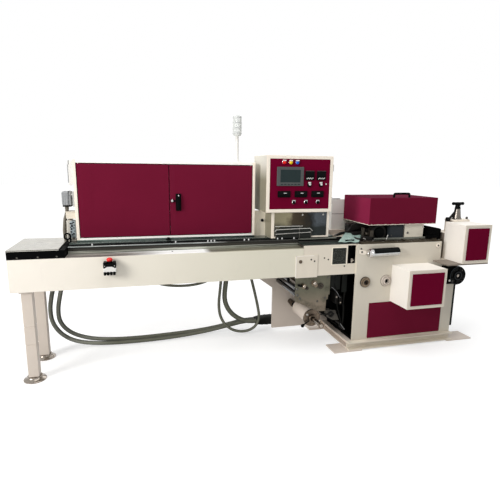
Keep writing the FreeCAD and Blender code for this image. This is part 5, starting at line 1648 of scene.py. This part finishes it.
def sealing_station():
    """Soiled deck, crimp jaws, arms, the black roller and the block at the right"""
    deck = 837
    high = span("seal_supports")[1]
    top = high.z
    piece("jaw_steel", "slate", [
        slab((2712, 100, deck), (2843, 360, top), 3),
        slab((2718, 94, deck + 18), (2837, 101, top - 14), 2)], replaces="seal_supports")
    piece("jaw_pale", "cream_light", slab((2852, 100, deck), (3028, 360, top), 3))
    piece("jaw_screws", "dark_steel", [
        bolt((2882, 100, 896), FRONT, 6, 5), bolt((2730, 94, 880), FRONT, 4, 4)])
    piece("jaw_bolt", "chrome", bolt((3022, 100, 940), FRONT, 6, 6, False))
    piece("jaw_block", "soot", [
        prism([(3054, deck), (high.x, deck), (high.x, 926), (3140, 934), (3054, 950)], 64, 214, 1,
              4), slab((3020, 30, deck), (3118, 60, deck + 40), 4),
        slab((3056, 56, deck + 20), (3150, 68, deck + 84), 3)])
    piece("jaw_foot", "deck_dirt", [
        slab((3046, 40, deck), (3166, 66, deck + 8), 2),
        slab((3062, 24, deck), (3100, 32, deck + 22), 2)])
    piece("deck_sheet", "deck_dirt", [
        slab((2404, -11, deck - 1), (3112, 62, deck + 12), 2),
        [slab((2410 + 42 * step, -6 + 5 * (step % 3), deck + 8),
              (2446 + 42 * step, 56 - 4 * (step % 2), deck + 16 + 5 * (step % 4 == 1)), 3)
         for step in range(16)]])
    piece("deck_gap", "soot", slab((2404, 62, deck), (3040, 84, deck + 10), 1))
    piece("deck_ledge", "rail_steel", slab((2572, 84, deck), (3040, 99, deck + 26), 2))
    piece("deck_screws", "dark_steel", [
        bolt((x, 2, deck + 12), UP, 5, 4) for x in range(2600, 3110, 126)])
    roll_low, roll_high = span("seal_roller")
    radius = (roll_high.z - roll_low.z) / 2
    x, z = (roll_low.x + roll_high.x) / 2, (roll_low.z + roll_high.z) / 2
    thick = roll_high.y - roll_low.y
    piece("roller_body", "dark_cast",
          lathe((x, roll_low.y, z), REAR,
                [(10, 0), (10, 40), (2, 44), (0, 46), (0, radius - 3), (3, radius),
                 (thick - 3, radius), (thick, radius - 3), (thick, 0)], 48), replaces="seal_roller")
    piece("roller_hub", "black_plastic",
          lathe((x + 6, roll_low.y + 10.5, z), FRONT,
                [(0, 0), (0, 44), (10, 43), (14, 38), (14, 0)], 36))
    piece("roller_forks", "dark_cast", [
        slab((x - radius - 22, roll_low.y + 10, deck), (x - radius - 6, roll_low.y + 50, z + 30),
             4),
        slab((x - radius - 22, roll_low.y + 70, deck), (x + radius, roll_low.y + 90, z + 20), 4)])
    piece("sealing_arms", "dark_cast", [
        prism([(2308, 867), (2360, 891), (2391, 895), (2429, 903), (2461, 952), (2500, 966),
               (2632, 966), (2632, 940), (2470, 905), (2430, 889), (2339, 863)], 240, 262, 1, 2),
        slab((2440, 262, deck), (2700, 330, deck + 118), 5),
        slab((2440, 190, deck), (2552, 240, deck + 60), 4),
        rod((2430, 60, deck + 20), (2430, 300, deck + 20), 14, 2),
        slab((2462, 66, deck), (2546, 110, deck + 44), 5)])
    piece("sealing_shaft", "dirty_steel", [
        rod((2500, 104, deck + 62), (2560, 104, deck + 56), 16, 3),
        slab((2524, 70, deck + 36), (2556, 104, deck + 92), 5),
        slab((2478, 108, deck + 40), (2500, 130, deck + 108), 4)])
    piece("sealing_chain", "dirty_steel", [
        [rod((2418 + 15 * step, 28, deck + 8), (2418 + 15 * step, 46, deck + 8), 7, 1, 10)
         for step in range(11)], row(6, 30, (2416, 22, deck + 2), (2440, 28, deck + 15), 2)])
    piece("sealing_bits", "zinc", [
        rod((2464, 60, deck + 34), (2484, 64, deck + 24), 5, 1),
        rod((2520, 30, deck + 12), (2560, 60, deck + 22), 3, 1),
        rod((2676, 78, deck + 14), (2692, 84, deck + 50), 4, 1)])


def hose_ends():
    """Glands where conduits enter the beam, and the wrapped sleeve at the rear plate"""
    (x0, y0, z0), (x1, y1, z1) = span("hose_sleeve")
    glands = []
    for diameter, _, points in ROUTES.values():
        for x, y, z in (points[0], points[-1]):
            if z < 0.6:
                continue
            spot = (1000 * x + DATUM.x, 1000 * y + DATUM.y)
            wide = 500 * diameter
            glands.append(tube((*spot, 590), (*spot, 610), wide + 6, wide + 0.5, 2, 20))
            glands.append(tube((*spot, 604), (*spot, 610), wide + 10, wide + 0.5, 1, 6))
    piece("hose_glands", "rubber", glands)
    middle = ((y0 + y1) / 2, (z0 + z1) / 2)
    piece("sleeve_wrap", "rubber",
          wrapped(middle,
                  [(x0, 40, 20), (x0 + 2, 56, 27), (x0 + 30, 61, 32), (x0 + 58, 63.5, 36),
                   (x0 + 64, 62, 34), (x0 + 104, 65, 38), (x0 + 110, 63, 36), (x0 + 150, 65, 37.5),
                   (x0 + 156, 62, 35), (x1, 63, 36)]), replaces="hose_sleeve")


def wrapped(middle, profile, sides=40):
    """A flattened sleeve along X: profile is (x, half depth, half height)"""
    def bulge(reach, share):
        return reach * math.copysign(abs(share) ** 0.8, share)

    def add(mesh):
        skin(mesh,
             [[mesh.verts.new((x, middle[0] + bulge(deep, math.cos(turn)),
                               middle[1] + bulge(tall, math.sin(turn)))) for turn in turns(sides)]
              for x, deep, tall in profile], caps=True)
    return add


camera()
surroundings()
for name, route in ROUTES.items():
    conduit(name, *route)
infeed()
stop_station()
legs()
base()
cabinet()
tower()
side_boxes()
control_station()
forming_station()
film_bay()
body_front()
guards()
hand_wheel()
outfeed_motor()
hood()
sealing_station()
hose_ends()
for node, finish in (
        ("door_pins", "zinc"),
        ("forming_panel", "cream"),
        ("film_shafts", "brown_steel"),
        ("body_deck", "cream"),
        ("rear_plate", "cream_warm"),
        ("end_panel", "black_paint"),
        ("red_panels", "crimson_bright"),
        # the shelf under the upper guard takes brown_shade: painted shade
        ("guard_shelf", "brown_shade"),
        ("hood_hinges", "zinc"),
        ("base_rails", "cream"),
        ("base_ends", "cream_warm"),
):
    finish_node(node, finish)

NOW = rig.bounds()
with open("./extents.json", "w") as out:
    json.dump([[list(corner) for corner in CAD_BOX], [list(corner) for corner in NOW]], out)
